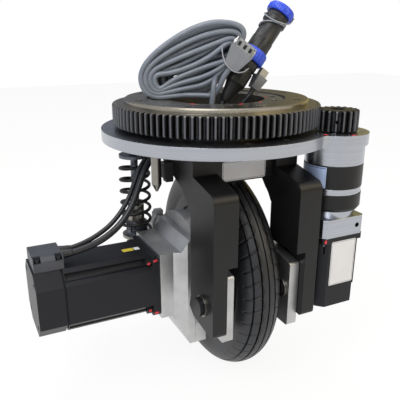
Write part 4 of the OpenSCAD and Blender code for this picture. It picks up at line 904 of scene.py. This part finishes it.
tone = add(tree, "ValToRGB", {"tones": ((0, "#17181b"), (1, "#26282d"))}, {"Fac": (grain, "Fac")})
# Painted shade: the grooves are coloured near black, besides being bumped in below.
tone_with_painted_shade = add(tree, "Mix", {"data_type": "RGBA", 7: colour("#060607")},
            {0: (carved, "Value"), 6: (tone, "Color")})
fine = add(tree, "Bump", {"Strength": 0.2, "Distance": 0.0002}, {"Height": (grain, "Fac")})
bump = add(tree, "Bump", {"Strength": 0.8, "Distance": 0.001, "invert": True},
           {"Height": (carved, "Value"), "Normal": (fine, "Normal")})
fit(tree, shader, {"Roughness": 0.44}, {"Base Color": (tone_with_painted_shade, 2), "Normal": (bump, "Normal")})
cover(rubber, "tyre")
bare = [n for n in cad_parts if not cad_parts[n].data.materials]
print("CAD nodes without a finish:", bare)

# %% [markdown]
# ## Floor and light
# The photograph is cut out on white, but the metal mirrors the hall that it was taken in: a cool
# light from one side and a warm wall on the other. So a white floor keeps the soft shadow, three
# large lamps give the light, and the world is white to the camera and a pale room to the metal.

# %% White floor that keeps the shadow
bpy.ops.object.select_all(action="DESELECT")
bpy.ops.mesh.primitive_plane_add(size=8, location=(0, 0, cad_box[0][2] - 0.0002))
floor = bpy.context.object
floor.name = "floor"
white, tree, shader = new_finish("white_floor")
fit(tree, shader, {"Base Color": colour("#f4f4f4"), "Roughness": 0.9})
rays = add(tree, "LightPath")
seen = add(tree, "Math", {"operation": "MAXIMUM"},
           {0: (rays, "Is Camera Ray"), 1: (rays, "Is Glossy Ray")})
seen = add(tree, "Math", {"operation": "MAXIMUM"}, {0: (seen, "Value"), 1: (rays, "Is Transmission Ray")})
share = add(tree, "Math", {"operation": "MULTIPLY", 1: 0.9}, {0: (seen, "Value")})
glow = add(tree, "Emission", {"Color": (1, 1, 1, 1), "Strength": 1.0})
lit = add(tree, "MixShader", (), {0: (share, "Value"), 1: (shader, "BSDF"), 2: (glow, "Emission")})
tree.links.new(lit.outputs["Shader"], tree.nodes["Material Output"].inputs["Surface"])
floor.data.materials.append(white)
print("floor at", round(floor.location.z, 4))

# %% Three soft lamps
for name, where, size, power, tint in (("key_lamp", (0.9, -1.3, 1.5), 1.2, 30, "#ffffff"),
                                       ("fill_lamp", (1.3, 1.0, 1.0), 1.2, 12, "#fff3dd"),
                                       ("top_lamp", (-0.4, 0.0, 1.9), 1.6, 18, "#ffffff")):
    lamp = bpy.data.lights.new(name, "AREA")
    lamp.size, lamp.energy, lamp.color = size, power, colour(tint)[:3]
    holder = bpy.data.objects.new(name, lamp)
    holder.location = where
    holder.rotation_euler = (Vector((0, 0, -0.15)) - Vector(where)).to_track_quat("-Z", "Y").to_euler()
    bpy.context.collection.objects.link(holder)

# %% The room that the metal mirrors
world = bpy.data.worlds.new("pale_room")
bpy.context.scene.world = world
world.use_nodes = True
tree = world.node_tree
way = add(tree, "TexCoord")
split = add(tree, "SeparateXYZ", (), {"Vector": (way, "Generated")})
turn = add(tree, "Math", {"operation": "ARCTAN2"}, {0: (split, "Y"), 1: (split, "X")})
round_room = add(tree, "MapRange", {"From Min": -math.pi, "From Max": math.pi}, {"Value": (turn, "Value")})
walls = add(tree, "ValToRGB", (), {"Fac": (round_room, "Result")})
ramp = walls.color_ramp
ramp.elements[0].color, ramp.elements[1].color = colour("#8b92a2"), colour("#8b92a2")
for degrees, tint in ((-140, "#dfe3ec"), (-112, "#7f89a0"), (-92, "#ffffff"), (-72, "#8f98ae"),
                      (-52, "#f6f7fb"), (-30, "#a3aabb"), (-10, "#f2f0ea"), (8, "#b8ae90"),
                      (26, "#ffe9a6"), (48, "#b0934a"), (70, "#fff0bf"), (96, "#8f8050"),
                      (124, "#e6cf84"), (146, "#75715f"), (164, "#7f838e")):
    ramp.elements.new((degrees + 180) / 360).color = colour(tint)
ceiling = add(tree, "MapRange", {"From Min": 0.35, "From Max": 0.85}, {"Value": (split, "Z")})
all_round = add(tree, "Mix", {"data_type": "RGBA", 7: colour("#eef0f4")},
                {0: (ceiling, "Result"), 6: (walls, "Color")})
room = fit(tree, tree.nodes["Background"], {"Strength": 0.8}, {"Color": (all_round, 2)})
seen = add(tree, "Background", {"Color": (1, 1, 1, 1), "Strength": 1.0})
rays = add(tree, "LightPath")
either = add(tree, "Math", {"operation": "MAXIMUM"},
             {0: (rays, "Is Camera Ray"), 1: (rays, "Is Transmission Ray")})
choose = add(tree, "MixShader", (), {0: (either, "Value"), 1: (room, "Background"), 2: (seen, "Background")})
tree.links.new(choose.outputs["Shader"], tree.nodes["World Output"].inputs["Surface"])
bpy.context.scene.view_settings.view_transform = "Standard"
print("the room has", len(ramp.elements), "tones round it")

# %% [markdown]
# ## Finish
# The view layer is brought up to date at the end; dressing a model must not change its size.

# %% Finish
bpy.context.view_layer.update()
